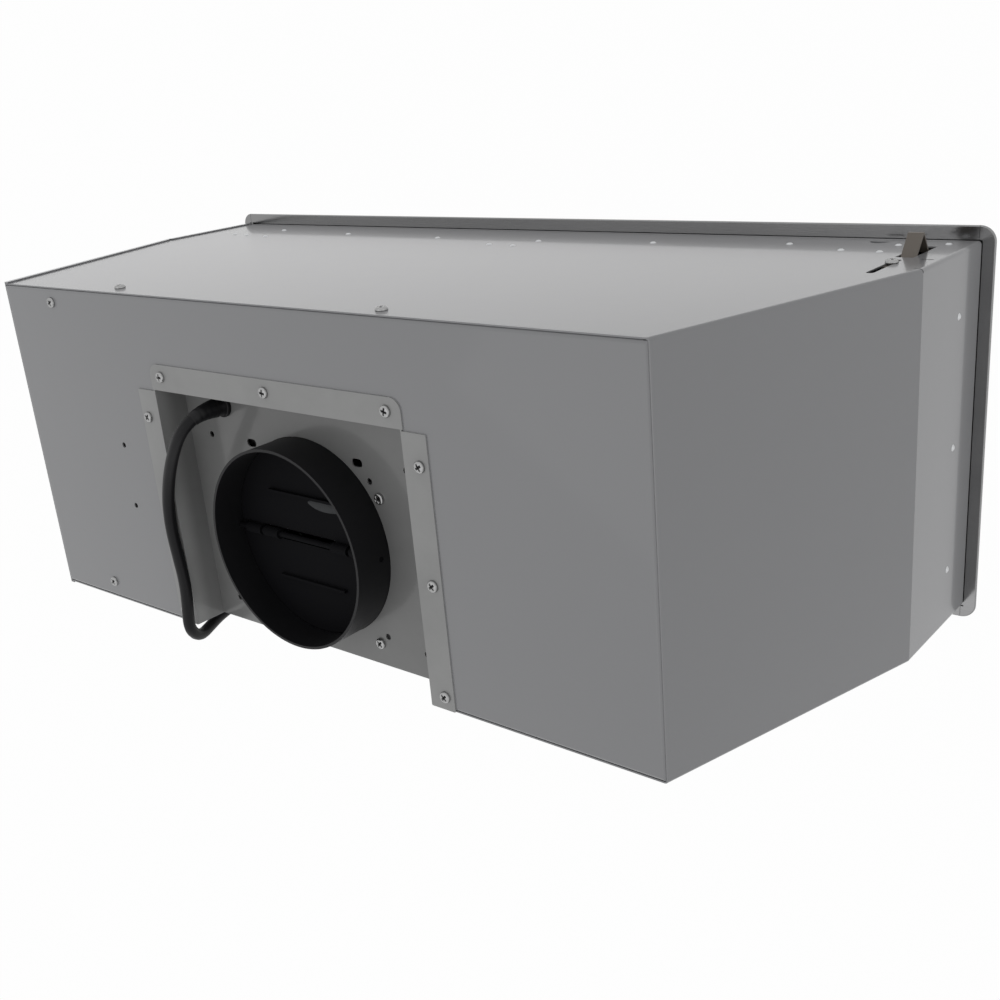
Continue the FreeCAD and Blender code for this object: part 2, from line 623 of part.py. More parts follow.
def face_frame():
    """Hemmed stainless face: panel, folded-back hems, upstands inside the walls, and its cut-outs."""
    half_w = frame_width / 2
    half_d = frame_depth / 2
    panel = rounded_box(-half_w, half_w, -half_d, half_d, 0, hem_ply, frame_corner)
    lower = [e for e in panel.Edges if abs(e.BoundBox.ZMax) < 1e-6]
    panel = panel.makeFillet(hem_ply * 0.85, lower)
    stand_out = sheet + upstand_inset
    pieces = [panel, hem_ring()]
    reach = half_base_width - upstand_end_inset
    x_wall = half_base_width - stand_out
    side_reach = half_depth - filter_bay_back_inset + 1
    for side in (-1, 1):
        inner = wall_line(side, stand_out + sheet)
        upstand = slab(-reach, reach, wall_line(side, stand_out), inner, hem_ply, upstand_height)
        clip_notch = slab(-half_w, clip_x + 16, wall_line(side, 0), wall_line(side, 33), clip_window[0] - 5, 200)
        pieces.append(upstand.cut(clip_notch))
        x_pair = sorted((side * (x_wall - sheet), side * x_wall))
        pieces.append(box(x_pair[0], x_pair[1], -side_reach, side_reach, hem_ply, upstand_height - 12))
    frame = fuse_all(pieces)
    cuts = []
    for x0, x1 in filter_bays():
        cuts.append(rounded_box(x0, x1, filter_bay_back - filter_bay_depth, filter_bay_back, -5, 5, 5))
    for x in (-lamp_x, lamp_x):
        cuts.append(cylinder(lamp_radius + 0.4, V(x, strip_y, -5), V(x, strip_y, 5)))
    half_strip = button_count * button_pitch / 2 + 4
    cuts.append(rounded_box(-half_strip, half_strip, strip_y - 12, strip_y + 12, -5, 5, 4))
    for side in (-1, 1):
        y0 = wall_line(side, 0)
        y1 = wall_line(side, 6)
        cuts += [cylinder(rivet_hole, V(x, min(y0, y1), z), V(x, max(y0, y1), z)) for x, z in rivet_spots]
    cuts += [cylinder(rivet_hole, V(side * (half_base_width - 6), y, z), V(side * (half_base_width + 1), y, z))
             for side, y, z in side_rivet_spots()]
    return frame.cut(Part.makeCompound(cuts))


def rivet(seat, direction):
    head = Part.makeCone(rivet_head, rivet_head * 0.55, rivet_head_height, seat, direction)
    return head.fuse(cylinder(rivet_hole - 0.05, seat - direction * 3.2, seat)).removeSplitter()


def wall_rivets():
    rivets = []
    for side in (-1, 1):
        rivets += [rivet(V(x, side * half_depth, z), V(0, side, 0)) for x, z in rivet_spots]
    return rivets + [rivet(V(side * half_base_width, y, z), V(side, 0, 0)) for side, y, z in side_rivet_spots()]


def filter_span(index):
    x0, x1 = filter_bays()[index]
    return x0 - filter_lap, x1 + filter_lap, filter_front, filter_bay_back + filter_lap


filter_low = hem_ply + 0.3
filter_skin = 0.8


def filter_frame(index):
    """Folded channel frame, open to the inside, that holds the baffle ends."""
    x0, x1, y0, y1 = filter_span(index)
    top = filter_low + filter_thickness
    skin = filter_skin
    frame = rounded_box(x0, x1, y0, y1, filter_low, top, 6)
    lower = [e for e in frame.Edges if abs(e.BoundBox.ZMax - filter_low) < 1e-6]
    frame = frame.makeFillet(filter_edge_radius, lower)
    window = box(x0 + filter_border, x1 - filter_border, y0 + filter_border, y1 - filter_border, -1, 30)
    channel = box(x0 + skin, x1 - skin, y0 + skin, y1 - skin, filter_low + skin, top - skin)
    corner_fill = rounded_box(x0 + skin, x1 - skin, y0 + skin, y1 - skin, filter_low + skin, top - skin, 5.2)
    return frame.cut(window).cut(channel.common(corner_fill))


def baffle(x_mid, width, y0, y1, base, height, opening):
    """One channel section baffle; opening +1 turns its walls up, -1 down."""
    half = width / 2
    w = baffle_sheet
    tip = base + opening * height
    inside = base + opening * w
    section = [V(x_mid - half, y0, base), V(x_mid + half, y0, base), V(x_mid + half, y0, tip),
               V(x_mid + half - w, y0, tip), V(x_mid + half - w, y0, inside), V(x_mid - half + w, y0, inside),
               V(x_mid - half + w, y0, tip), V(x_mid - half, y0, tip)]
    return prism(section, V(0, y1 - y0, 0))


def filter_baffles(index):
    x0, x1, y0, y1 = filter_span(index)
    skin = filter_skin
    gap = 0.2
    pitch = (x1 - x0 - 2 * filter_border) / baffle_count
    width = pitch * 0.66
    low = filter_low + skin + gap
    high = filter_low + filter_thickness - skin - gap
    height = (high - low) * 0.62
    ends = (y0 + skin + gap, y1 - skin - gap)
    rows = []
    for i in range(baffle_count):
        x_mid = x0 + filter_border + pitch * (i + 0.5)
        rows.append(baffle(x_mid, width, ends[0], ends[1], low, height, 1))
    for i in range(baffle_count - 1):
        x_mid = x0 + filter_border + pitch * (i + 1)
        rows.append(baffle(x_mid, width, ends[0], ends[1], high, height, -1))
    return rows


def lamp_housing(x):
    """Drawn cup behind the panel with a flange, and a ledge that carries the lens."""
    ply = hem_ply
    base = V(x, strip_y, 0)
    cup = cylinder(lamp_radius + 1.6, base + V(0, 0, ply), base + V(0, 0, 24))
    crown = [e for e in cup.Edges if abs(e.CenterOfMass.z - 24) < 1e-6]
    cup = cup.makeFillet(5, crown)
    flange = cylinder(lamp_radius + 3.0, base + V(0, 0, ply), base + V(0, 0, ply + 1.2))
    cup = cup.fuse(flange).cut(cylinder(lamp_radius + 0.3, base + V(0, 0, -1), base + V(0, 0, 2.6)))
    return cup.cut(cylinder(lamp_radius - 2, base + V(0, 0, -1), base + V(0, 0, 20))).removeSplitter()


def lamp_lens(x):
    return cylinder(lamp_radius, V(x, strip_y, 0.4), V(x, strip_y, 2.5))


def lamp_board(x):
    base = V(x, strip_y, 0)
    board = cylinder(lamp_radius - 5, base + V(0, 0, 18.2), base + V(0, 0, 19.8))
    chips = [cylinder(3.0, base + V(10 * math.cos(t), 10 * math.sin(t), 16.6), base + V(10 * math.cos(t), 10 * math.sin(t), 18.2))
             for t in (math.pi / 2, math.pi * 7 / 6, math.pi * 11 / 6)]
    return fuse_all([board] + chips)


def button_x(i):
    return (i - (button_count - 1) / 2) * button_pitch


def control_bezel():
    ply = hem_ply
    half_strip = button_count * button_pitch / 2 + 4
    island = rounded_box(-half_strip + 0.3, half_strip - 0.3, strip_y - 11.7, strip_y + 11.7, 0.3, ply + 2, 3.7)
    flange = rounded_box(-half_strip - 6, half_strip + 6, strip_y - 17, strip_y + 17, ply, ply + 2, 4)
    bezel = island.fuse(flange)
    half = button_size / 2 + 0.35
    holes = [rounded_box(button_x(i) - half, button_x(i) + half, strip_y - half, strip_y + half, -2, 9, 2.3)
             for i in range(button_count)]
    return bezel.cut(Part.makeCompound(holes)).removeSplitter()


def push_button(i):
    """Cap, collar that stops it behind the bezel, and a stem for its switch."""
    half = button_size / 2
    x = button_x(i)
    seat = hem_ply + 2.0 + 0.15
    cap = rounded_box(x - half, x + half, strip_y - half, strip_y + half, 0.6, 9.5, 2)
    face = [e for e in cap.Edges if abs(e.CenterOfMass.z - 0.6) < 1e-6]
    cap = cap.makeFillet(0.7, face)
    collar = box(x - half - 1.2, x + half + 1.2, strip_y - half - 1.2, strip_y + half + 1.2, seat, seat + 1.5)
    stem = cylinder(1.8, V(x, strip_y, 9.5), V(x, strip_y, 13.4))
    return fuse_all([cap, collar, stem])


def switch_board():
    """Circuit board with one switch body over each button."""
    half_strip = button_count * button_pitch / 2 + 1
    board = box(-half_strip, half_strip, strip_y - 13, strip_y + 13, 18, 19.6)
    bodies = []
    for i in range(button_count):
        x = button_x(i)
        body = box(x - 6, x + 6, strip_y - 6, strip_y + 6, 12.4, 18)
        bodies.append(body.cut(cylinder(2.1, V(x, strip_y, 10), V(x, strip_y, 17))))
    return fuse_all([board] + bodies)


def control_housing():
    half_strip = button_count * button_pitch / 2 + 4
    low = hem_ply + 2.0
    shell = rounded_box(-half_strip - 5, half_strip + 5, strip_y - 16, strip_y + 16, low, 27, 3)
    hollow = box(-half_strip - 3.4, half_strip + 3.4, strip_y - 14.4, strip_y + 14.4, low - 1, 25.4)
    posts = [cylinder(2.5, V(x, y, 19.6), V(x, y, 26)) for x in (-half_strip + 7, half_strip - 7)
             for y in (strip_y - 9, strip_y + 9)]
    return fuse_all([shell.cut(hollow)] + posts)


# Wiring bracket under the top plate and what it carries
bracket_ply = 1.2
bracket_web_x = 252.0
bracket_flange_x = 228.0
bracket_low = body_top - 84.0
under_top = body_top - sheet


def wiring_bracket():
    reach = half_depth - 6
    flange = box(bracket_flange_x, bracket_web_x, -reach, reach, under_top - bracket_ply, under_top)
    web = box(bracket_web_x - bracket_ply, bracket_web_x, -reach + 8, reach - 8, bracket_low, under_top)
    bracket = flange.fuse(web).removeSplitter()
    holes = [screw_hole(V(x, y, under_top), Z_AXIS, 4) for x, y in top_screw_spots]
    return bracket.cut(Part.makeCompound(holes))


box_x = (182.0, bracket_web_x - bracket_ply)
box_y = (-104.0, -34.0)
box_z = (body_top - 70.0, body_top - 16.0)
box_wall = 1.2


def junction_box():
    shell = box(box_x[0], box_x[1], box_y[0], box_y[1], *box_z)
    hollow = box(box_x[0] + box_wall, box_x[1] - box_wall, box_y[0] + box_wall, box_y[1] - box_wall,
                 box_z[0] - 1, box_z[1] - box_wall)
    entry_y = (box_y[0] + box_y[1]) / 2
    entry_z = box_z[0] + 32.0
    entry = cylinder(11.0, V(box_x[0] - 2, entry_y, entry_z), V(box_x[0] + 4, entry_y, entry_z))
    return shell.cut(hollow).cut(entry)


def junction_cover():
    lid = box(box_x[0], box_x[1], box_y[0], box_y[1], box_z[0] - box_wall, box_z[0])
    plug_in = box(box_x[0] + 2, box_x[1] - 2, box_y[0] + 2, box_y[1] - 2, box_z[0], box_z[0] + 5)
    core = box(box_x[0] + 3.2, box_x[1] - 3.2, box_y[0] + 3.2, box_y[1] - 3.2, box_z[0], box_z[0] + 6)
    return lid.fuse(plug_in.cut(core)).removeSplitter()


def terminal_block():
    x0 = 196.0
    block = box(x0, x0 + 22, -94, -44, box_z[1] - box_wall - 16, box_z[1] - box_wall)
    cells = []
    for i in range(4):
        y = -88 + i * 12.0
        cells.append(box(x0 + 4, x0 + 18, y, y + 8, box_z[1] - box_wall - 17, box_z[1] - box_wall - 9))
    return block.cut(Part.makeCompound(cells))


capacitor_radius = 16.0
capacitor_x = bracket_web_x - bracket_ply - capacitor_radius - 0.3
capacitor_z = body_top - 54.0
capacitor_y = 18.0
capacitor_length = 60.0
strap_start = 24.0
strap_width = 12.0


def capacitor():
    end_y = capacitor_y + capacitor_length
    can = cylinder(capacitor_radius, V(capacitor_x, capacitor_y, capacitor_z), V(capacitor_x, end_y, capacitor_z))
    ends = [e for e in can.Edges if min(abs(e.CenterOfMass.y - capacitor_y), abs(e.CenterOfMass.y - end_y)) < 1e-6]
    can = can.makeFillet(2, ends)
    tags = [box(capacitor_x + x - 0.4, capacitor_x + x + 0.4, end_y, end_y + 8, capacitor_z - 3, capacitor_z + 3)
            for x in (-6, 6)]
    return fuse_all([can] + tags)


def capacitor_strap():
    outer = capacitor_radius + 1.3
    inner = capacitor_radius + 0.3
    web = bracket_web_x - bracket_ply
    y0 = capacitor_y + strap_start
    y1 = y0 + strap_width
    ring = tube(outer, inner, V(capacitor_x, y0, capacitor_z), V(capacitor_x, y1, capacitor_z))
    ring = ring.cut(box(capacitor_x, web + 9, y0 - 9, y1 + 9, capacitor_z - 2 * outer, capacitor_z + 2 * outer))
    pieces = [ring]
    for side in (-1, 1):
        z_pair = sorted((capacitor_z + side * inner, capacitor_z + side * outer))
        pieces.append(box(capacitor_x, web, y0, y1, z_pair[0], z_pair[1]))
        z_foot = sorted((capacitor_z + side * inner, capacitor_z + side * (outer + 9)))
        pieces.append(box(web - 1, web, y0, y1, z_foot[0], z_foot[1]))
    return fuse_all(pieces)


# Cabinet clips: a plate sliding behind the wall and a hinged spring tongue in the window
clip_ply = 1.0
clip_half_width = 10.0
clip_pivot_z = 67.0
clip_pin_depth = sheet + 0.15 + 2.6
clip_apex = (12.6, 51.0)
clip_tip = (0.8, 42.0)


def clip_plate(side):
    """Sliding plate with two ears for the tongue's pivot."""
    depth = sheet + 0.15
    outer = wall_line(side, depth)
    inner = wall_line(side, depth + clip_ply)
    plate = slab(clip_x - clip_half_width, clip_x + clip_half_width, outer, inner, clip_pivot_z + 3, clip_screw_z + 8.5)
    ears = []
    for x in (clip_x - 8.0, clip_x + 6.8):
        ears.append(slab(x, x + 1.2, outer, wall_line(side, depth + 6), clip_pivot_z - 3.2, clip_pivot_z + 6))
    pin_y = wall_line(side, clip_pin_depth)
    plate = fuse_all([plate] + ears)
    plate = plate.cut(cylinder(1.05, V(clip_x - 12, pin_y, clip_pivot_z), V(clip_x + 12, pin_y, clip_pivot_z)))
    return plate.cut(screw_hole(V(clip_x, wall_line(side, 0), clip_screw_z), V(0, side, 0), 6))


def clip_pin(side):
    pin_y = wall_line(side, clip_pin_depth)
    return cylinder(1.0, V(clip_x - 8.3, pin_y, clip_pivot_z), V(clip_x + 8.3, pin_y, clip_pivot_z))


def clip_spring(side):
    """Tongue: a curl round the pin, a ramp out through the window and a steep return."""
    pin_y = wall_line(side, clip_pin_depth)
    face = side * half_depth
    half = 5.2
    points = [(pin_y - side * 0.1, clip_pivot_z - 1.6), (face + side * clip_apex[0], clip_apex[1] + 1.2),
              (face + side * (clip_apex[0] + 0.2), clip_apex[1] - 0.2), (face - side * clip_tip[0], clip_tip[1])]
    inner = [(face - side * (clip_tip[0] + 0.6), clip_tip[1] + 1.0),
             (face + side * (clip_apex[0] - 1.2), clip_apex[1] + 0.3), (pin_y - side * 1.4, clip_pivot_z - 1.4)]
    outline = [V(clip_x - half, y, z) for y, z in points + inner]
    leaf = prism(outline, V(2 * half, 0, 0))
    curl = cylinder(1.9, V(clip_x - half, pin_y, clip_pivot_z), V(clip_x + half, pin_y, clip_pivot_z))
    tongue = leaf.fuse(curl).removeSplitter()
    return tongue.cut(cylinder(1.0 + running_gap, V(clip_x - 12, pin_y, clip_pivot_z), V(clip_x + 12, pin_y, clip_pivot_z)))


# Mains cord: gland, free stretch, coil and plug
gland_top = pan_floor + 8.0
cord_floor = cord_radius + 0.3


def cord_gland():
    base = V(gland_x, gland_y, 0)
    head = cylinder(8.7, base + V(0, 0, pan_floor), base + V(0, 0, pan_floor + 3))
    rim = [e for e in head.Edges if abs(e.CenterOfMass.z - pan_floor - 3) < 1e-6]
    head = head.makeFillet(0.9, rim)
    nose = Part.makeCone(7.2, 5.5, gland_top - pan_floor - 3, base + V(0, 0, pan_floor + 3))
    body = cylinder(gland_hole - 0.1, base + V(0, 0, pan_floor - 13), base + V(0, 0, pan_floor))
    return fuse_all([head, nose, body])


def gland_nut():
    base = V(gland_x, gland_y, 0)
    sides = 6
    corners = [V(gland_x + 10.5 * math.cos(math.pi / 3 * i), gland_y + 10.5 * math.sin(math.pi / 3 * i), pan_floor - 7.2)
               for i in range(sides)]
    nut = prism(corners, V(0, 0, 6.0))
    return nut.cut(cylinder(gland_hole, base + V(0, 0, 200), base + V(0, 0, 320)))


# Cord route, point by point: up from the gland, over the pan flange, over the back edge, down to the floor
coil_x = 67.0
coil_y = 243.0
coil_start_x = 127.0
coil_start_y = coil_y - 12.0
cord_route = [
    V(gland_x, gland_y, gland_top), V(81, -48, 310), V(84.4, -43.7, 319.5), V(90.3, -36.2, 325), V(98.5, -25.5, 326),
    V(109.5, -10.5, 325), V(120.5, 7, 323.2), V(128.5, 27, 322.1), V(131, 48.5, 322), V(128.8, 70.5, 322),
    V(125.9, 89.5, 322.4), V(125, 105.5, 323.6), V(125.4, 119.5, 325.2), V(126.2, 131.1, 325.5),
    V(128.2, 139.9, 320.4), V(131.8, 145, 311.6), V(137.6, 144.4, 299), V(145, 142.8, 281), V(150.5, 141.2, 252),
    V(152, 140.6, 200), V(149.5, 141, 140), V(142, 143.5, 90), V(134, 151.5, 52), V(128.5, 165, 24.5),
    V(127, 184, 9.5), V(127, 208, cord_floor), V(coil_start_x, coil_start_y, cord_floor)]


def rounded_path(points):
    """Straight runs joined by tangent arcs, each as large as its two runs allow."""
    edges = []
    radii = []
    start = points[0]
    for i in range(1, len(points) - 1):
        before = points[i - 1] - points[i]
        after = points[i + 1] - points[i]
        turn = math.pi - before.getAngle(after)
        reach = 0.45 * min(before.Length, after.Length)
        radius = reach / math.tan(turn / 2)
        before.normalize()
        after.normalize()
        entry = points[i] + before * reach
        leave = points[i] + after * reach
        bisector = before + after
        bisector.normalize()
        middle = points[i] + bisector * (radius / math.cos(turn / 2) - radius)
        edges.append(Part.LineSegment(start, entry).toShape())
        edges.append(Part.Arc(entry, middle, leave).toShape())
        radii.append(round(radius, 1))
        start = leave
    edges.append(Part.LineSegment(start, points[-1]).toShape())
    return Part.Wire(edges), radii


def sweep_round(path, radius):
    """Round section swept along a wire from its first vertex."""
    first = path.Edges[0]
    start = first.valueAt(first.FirstParameter)
    direction = first.tangentAt(first.FirstParameter)
    section = Part.Wire([Part.makeCircle(radius, start, direction)])
    return path.makePipeShell([section], True, False)


def cord():
    path, radii = rounded_path(cord_route)
    print("cord radii", radii)
    solid = sweep_round(path, cord_radius)
    expected = math.pi * cord_radius ** 2 * path.Length
    print("cord length", round(path.Length, 1), "volume ratio", round(solid.Volume / expected, 4))
    return solid


coil_outer = coil_start_x - coil_x
coil_layer = 2 * cord_radius + 0.5


def coil_point(turn):
    """Centre line of the coil: in over coil_turns turns, up a layer where it reverses, and out again."""
    climb = min(max((turn - coil_turns) / 0.5, 0.0), 1.0)
    reverse = coil_turns + 0.25
    inward = min(turn, reverse)
    outward = max(turn - reverse, 0.0)
    radius = coil_outer - coil_pitch * inward + coil_pitch * outward
    smooth = climb * climb * (3 - 2 * climb)
    angle = 2 * math.pi * turn
    return V(coil_x + radius * math.cos(angle), coil_y + radius * math.sin(angle), cord_floor + coil_layer * smooth)


def coil_tangent(turn):
    step = 0.0005
    tangent = coil_point(turn + step) - coil_point(turn - step)
    tangent.normalize()
    return tangent


def biarc(p0, t0, p1, t1):
    """Two tangent arcs from p0 along t0 to p1 along t1."""
    v = p1 - p0
    both = t0 + t1
    a = 2 * (1 - t0.dot(t1))
    b = v.dot(both)
    reach = (-b + math.sqrt(b * b + a * v.dot(v))) / a
    joint = (p0 + p1 + (t0 - t1) * reach) * 0.5
    arcs = []
    for start, end, corner in ((p0, joint, p0 + t0 * reach), (joint, p1, p1 - t1 * reach)):
        middle = (start + end) * 0.5
        half_chord = (end - start).Length / 2
        rise = math.sqrt(reach * reach - half_chord * half_chord)
        radius = half_chord * reach / rise
        bulge = radius * (1 - half_chord / reach)
        arcs.append(Part.Arc(start, middle + (corner - middle) * (bulge / rise), end).toShape())
    return arcs


coil_end = coil_turns + 0.5 + 1.75


def cord_coil():
    step = 0.25
    count = round(coil_end / step)
    eps = 0.001
    turns = [i * step for i in range(count + 1)]
    points = [coil_point(t) for t in turns]
    tangents = [coil_tangent(min(max(t, eps), coil_end - eps)) for t in turns]
    tangents[0] = V(0, 1, 0)
    edges = [Part.LineSegment(V(coil_start_x, coil_start_y, cord_floor), points[0]).toShape()]
    for i in range(count):
        edges += biarc(points[i], tangents[i], points[i + 1], tangents[i + 1])
    end = points[-1] + tangents[-1] * coil_tail
    edges.append(Part.LineSegment(points[-1], end).toShape())
    path = Part.Wire(edges)
    solid = sweep_round(path, cord_radius)
    expected = math.pi * cord_radius ** 2 * path.Length
    print("coil length", round(path.Length, 1), "volume ratio", round(solid.Volume / expected, 4))
    print("coil least gap to itself", round(least_self_gap(path), 2))
    return solid, end, tangents[-1]


def least_self_gap(path):
    samples = path.discretize(600)
    spacing = path.Length / 599
    skip = int(6 * cord_radius / spacing) + 1
    least = min((samples[i] - samples[j]).Length for i in range(600) for j in range(i + skip, 600))
    return least - 2 * cord_radius


def plug(end, direction):
    """Moulded plug: tapered strain relief, grip and face, lying along the cord's last stretch."""
    relief = Part.makeCone(cord_radius + 0.6, 8.0, plug_relief, end, direction)
    shoulder = end + direction * plug_relief
    return fuse_all([relief, rounded_grip(shoulder.x, shoulder.y, shoulder.z)])


plug_relief = 26.0
plug_length = 26.0
plug_half_y = 14.0
plug_half_z = 13.5
blade_length = 18.0
earth_length = 21.0


def rounded_grip(x, y, z):
    block = box(x - plug_length, x, y - plug_half_y, y + plug_half_y, z - plug_half_z, z + plug_half_z)
    long_edges = [e for e in block.Edges if e.BoundBox.XLength > plug_length - 1]
    block = block.makeFillet(7, long_edges)
    rim = [e for e in block.Edges if abs(e.CenterOfMass.x - x) < 1e-6]
    return block.makeFillet(3, rim)


def plug_blades(end):
    """Two flat blades and a round earth pin in the plug's face."""
    face = end.x - plug_relief - plug_length
    y = end.y
    z = end.z
    flats = [box(face - blade_length, face, y + side * 6.35 - 0.75, y + side * 6.35 + 0.75, z - 0.2, z + 6.2)
             for side in (-1, 1)]
    earth = cylinder(2.4, V(face - earth_length, y, z - 7), V(face, y, z - 7))
    tip = [e for e in earth.Edges if abs(e.CenterOfMass.x - face + earth_length) < 1e-6]
    return flats + [earth.makeFillet(1.5, tip)]


export("body_wrap", body_wrap())
export("left_side", left_side())
export("top_plate", top_plate())
export("recess_pan", recess_pan())
export("face_frame", face_frame())
export("duct_collar", duct_collar())
export("damper_flap_front", damper_flap(-1))
export("damper_flap_rear", damper_flap(1))
export("damper_spindle", damper_spindle())
export("scroll_wrap", scroll_wrap())
export("scroll_side_left", scroll_side(1))
export("scroll_side_right", scroll_side(-1))
export("impeller", impeller())
export("motor_shaft", motor_shaft())
export("motor", motor())
export("motor_bracket", motor_bracket())
for index, name in enumerate(("right", "left")):
    export("filter_frame_" + name, filter_frame(index))
    group("filter_baffles_" + name, filter_baffles(index))
for x, name in ((-lamp_x, "right"), (lamp_x, "left")):
    export("lamp_housing_" + name, lamp_housing(x))
    export("lamp_lens_" + name, lamp_lens(x))
    export("lamp_board_" + name, lamp_board(x))
export("control_bezel", control_bezel())
export("control_housing", control_housing())
export("switch_board", switch_board())
for i in range(button_count):
    export("push_button_" + str(i + 1), push_button(i))
export("wiring_bracket", wiring_bracket())
export("junction_box", junction_box())
export("junction_cover", junction_cover())
export("terminal_block", terminal_block())
export("capacitor", capacitor())
export("capacitor_strap", capacitor_strap())
for side, name in ((-1, "front"), (1, "back")):
    export("clip_plate_" + name, clip_plate(side))
    export("clip_pin_" + name, clip_pin(side))
    export("clip_spring_" + name, clip_spring(side))
    clip_seat = V(clip_x, side * (half_depth + 0.1), clip_screw_z)
    export("clip_screw_" + name, pan_screw(clip_seat, V(0, side, 0), 4.5))
group("pan_screws", [pan_screw(V(x, y, pan_top), Z_AXIS, screw_length) for x, y in pan_screw_spots()])
group("top_screws", [pan_screw(V(x, y, body_top), Z_AXIS, screw_length) for x, y in top_screw_spots])
group("collar_screws", [pan_screw(V(x, y, pan_floor), Z_AXIS, screw_length) for x, y in collar_screw_spots])
group("wall_screws", [pan_screw(V(x, side * half_depth, z), V(0, side, 0), screw_length)
                      for side in (-1, 1) for x, z in wall_screw_spots[side]])
motor_screw_seats = [V(scroll_half_width + sheet + 2, y, z) for y, z in bracket_screw_spots()]
group("motor_screws", [pan_screw(seat, X_AXIS, screw_length) for seat in motor_screw_seats])
group("wall_rivets", wall_rivets())
export("cord_gland", cord_gland())
export("gland_nut", gland_nut())
export("cord", cord())
coil_solid, cord_end, cord_direction = cord_coil()
export("cord_coil", coil_solid)
export("plug", plug(cord_end, cord_direction))
group("plug_blades", plug_blades(cord_end))
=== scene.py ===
"""Finish of a built-in range hood insert: enamel, stainless, plastics, screws, cord, and a plain pale studio."""
import json

import bpy
import numpy as np
from mathutils import Matrix, Vector

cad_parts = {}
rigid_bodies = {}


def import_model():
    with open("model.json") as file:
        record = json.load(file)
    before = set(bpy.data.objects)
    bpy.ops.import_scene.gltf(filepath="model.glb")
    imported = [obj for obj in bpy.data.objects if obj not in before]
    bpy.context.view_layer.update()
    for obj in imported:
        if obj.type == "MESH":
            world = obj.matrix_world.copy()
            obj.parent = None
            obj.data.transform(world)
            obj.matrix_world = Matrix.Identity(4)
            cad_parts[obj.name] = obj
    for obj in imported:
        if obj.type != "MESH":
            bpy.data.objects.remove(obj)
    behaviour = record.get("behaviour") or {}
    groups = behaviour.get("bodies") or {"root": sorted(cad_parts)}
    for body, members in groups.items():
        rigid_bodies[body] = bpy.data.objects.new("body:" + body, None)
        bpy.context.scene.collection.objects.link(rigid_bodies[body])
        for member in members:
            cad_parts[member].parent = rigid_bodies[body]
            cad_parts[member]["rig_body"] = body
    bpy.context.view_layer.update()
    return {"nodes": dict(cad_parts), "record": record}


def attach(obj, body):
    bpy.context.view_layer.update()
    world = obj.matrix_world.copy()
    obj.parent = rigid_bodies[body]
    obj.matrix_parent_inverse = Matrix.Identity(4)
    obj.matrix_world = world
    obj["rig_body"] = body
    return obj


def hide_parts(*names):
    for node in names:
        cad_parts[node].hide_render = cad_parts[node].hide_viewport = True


bl_info = {
    "name": "Range hood insert",
    "version": (1, 0, 0),
    "blender": (4, 5, 0),
    "location": "View3D > Sidebar > Hood",
    "description": "Dresses the packed hood with its finishes, fasteners, cord and studio",
    "category": "Object",
}

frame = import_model()
NODES = frame["nodes"]
NODE_BODY = {name: node["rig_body"] for name, node in NODES.items()}
MM = 0.001


# ---------------------------------------------------------------- settings

class HoodFinish(bpy.types.PropertyGroup):
    """Colours and gloss of the hood's finishes."""
    enamel_color: bpy.props.FloatVectorProperty(
        name="Enamel", description="Grey enamel of the housing", subtype="COLOR", size=3,
        default=(0.32, 0.322, 0.332), min=0, max=1)
    enamel_roughness: bpy.props.FloatProperty(
        name="Enamel roughness", description="Gloss of the housing's enamel", default=0.22, min=0, max=1)
    # painted light: the recess pan is the housing's enamel, and its lighter grey here stands in for the light it gets
    pan_color: bpy.props.FloatVectorProperty(
        name="Recess pan", description="Light grey of the recess pan", subtype="COLOR", size=3,
        default=(0.345, 0.347, 0.345), min=0, max=1)
    steel_color: bpy.props.FloatVectorProperty(
        name="Stainless", description="Colour of the stainless face", subtype="COLOR", size=3,
        default=(0.24, 0.24, 0.242), min=0, max=1)
    zinc_color: bpy.props.FloatVectorProperty(
        name="Zinc", description="Colour of zinc-coated sheet", subtype="COLOR", size=3,
        default=(0.55, 0.56, 0.57), min=0, max=1)
    black_color: bpy.props.FloatVectorProperty(
        name="Black plastic", description="Colour of collar, gland and buttons", subtype="COLOR", size=3,
        default=(0.006, 0.006, 0.007), min=0, max=1)
    spring_color: bpy.props.FloatVectorProperty(
        name="Spring steel", description="Taupe of the cabinet clip's tongue", subtype="COLOR", size=3,
        default=(0.16, 0.14, 0.12), min=0, max=1)


class HoodCord(bpy.types.PropertyGroup):
    """Sizes of the mains cord."""
    diameter: bpy.props.FloatProperty(
        name="Cord diameter", description="Outside diameter of the mains cord", default=0.0093,
        min=0.005, max=0.015, unit="LENGTH")
    coil_pitch: bpy.props.FloatProperty(
        name="Turn spacing", description="Distance between neighbouring turns of the coil", default=0.010,
        min=0.009, max=0.02, unit="LENGTH")


class HoodStudio(bpy.types.PropertyGroup):
    """Light levels of the studio."""
    key_power: bpy.props.FloatProperty(
        name="Key light", description="Power of the large soft lamp on the front wall's side", default=0.9,
        min=0, max=500, subtype="POWER")
    fill_power: bpy.props.FloatProperty(
        name="Fill light", description="Power of the soft lamp over the collar", default=5.0,
        min=0, max=500, subtype="POWER")
    side_power: bpy.props.FloatProperty(
        name="Side light", description="Power of the soft lamp at the right wall", default=2.0,
        min=0, max=500, subtype="POWER")
    back_power: bpy.props.FloatProperty(
        name="Back light", description="Power of the soft lamp behind the hood", default=3.0,
        min=0, max=500, subtype="POWER")
    sky: bpy.props.FloatProperty(
        name="Sky", description="Strength of the even light from all round", default=0.46, min=0, max=2)


# ---------------------------------------------------------------- shader helpers

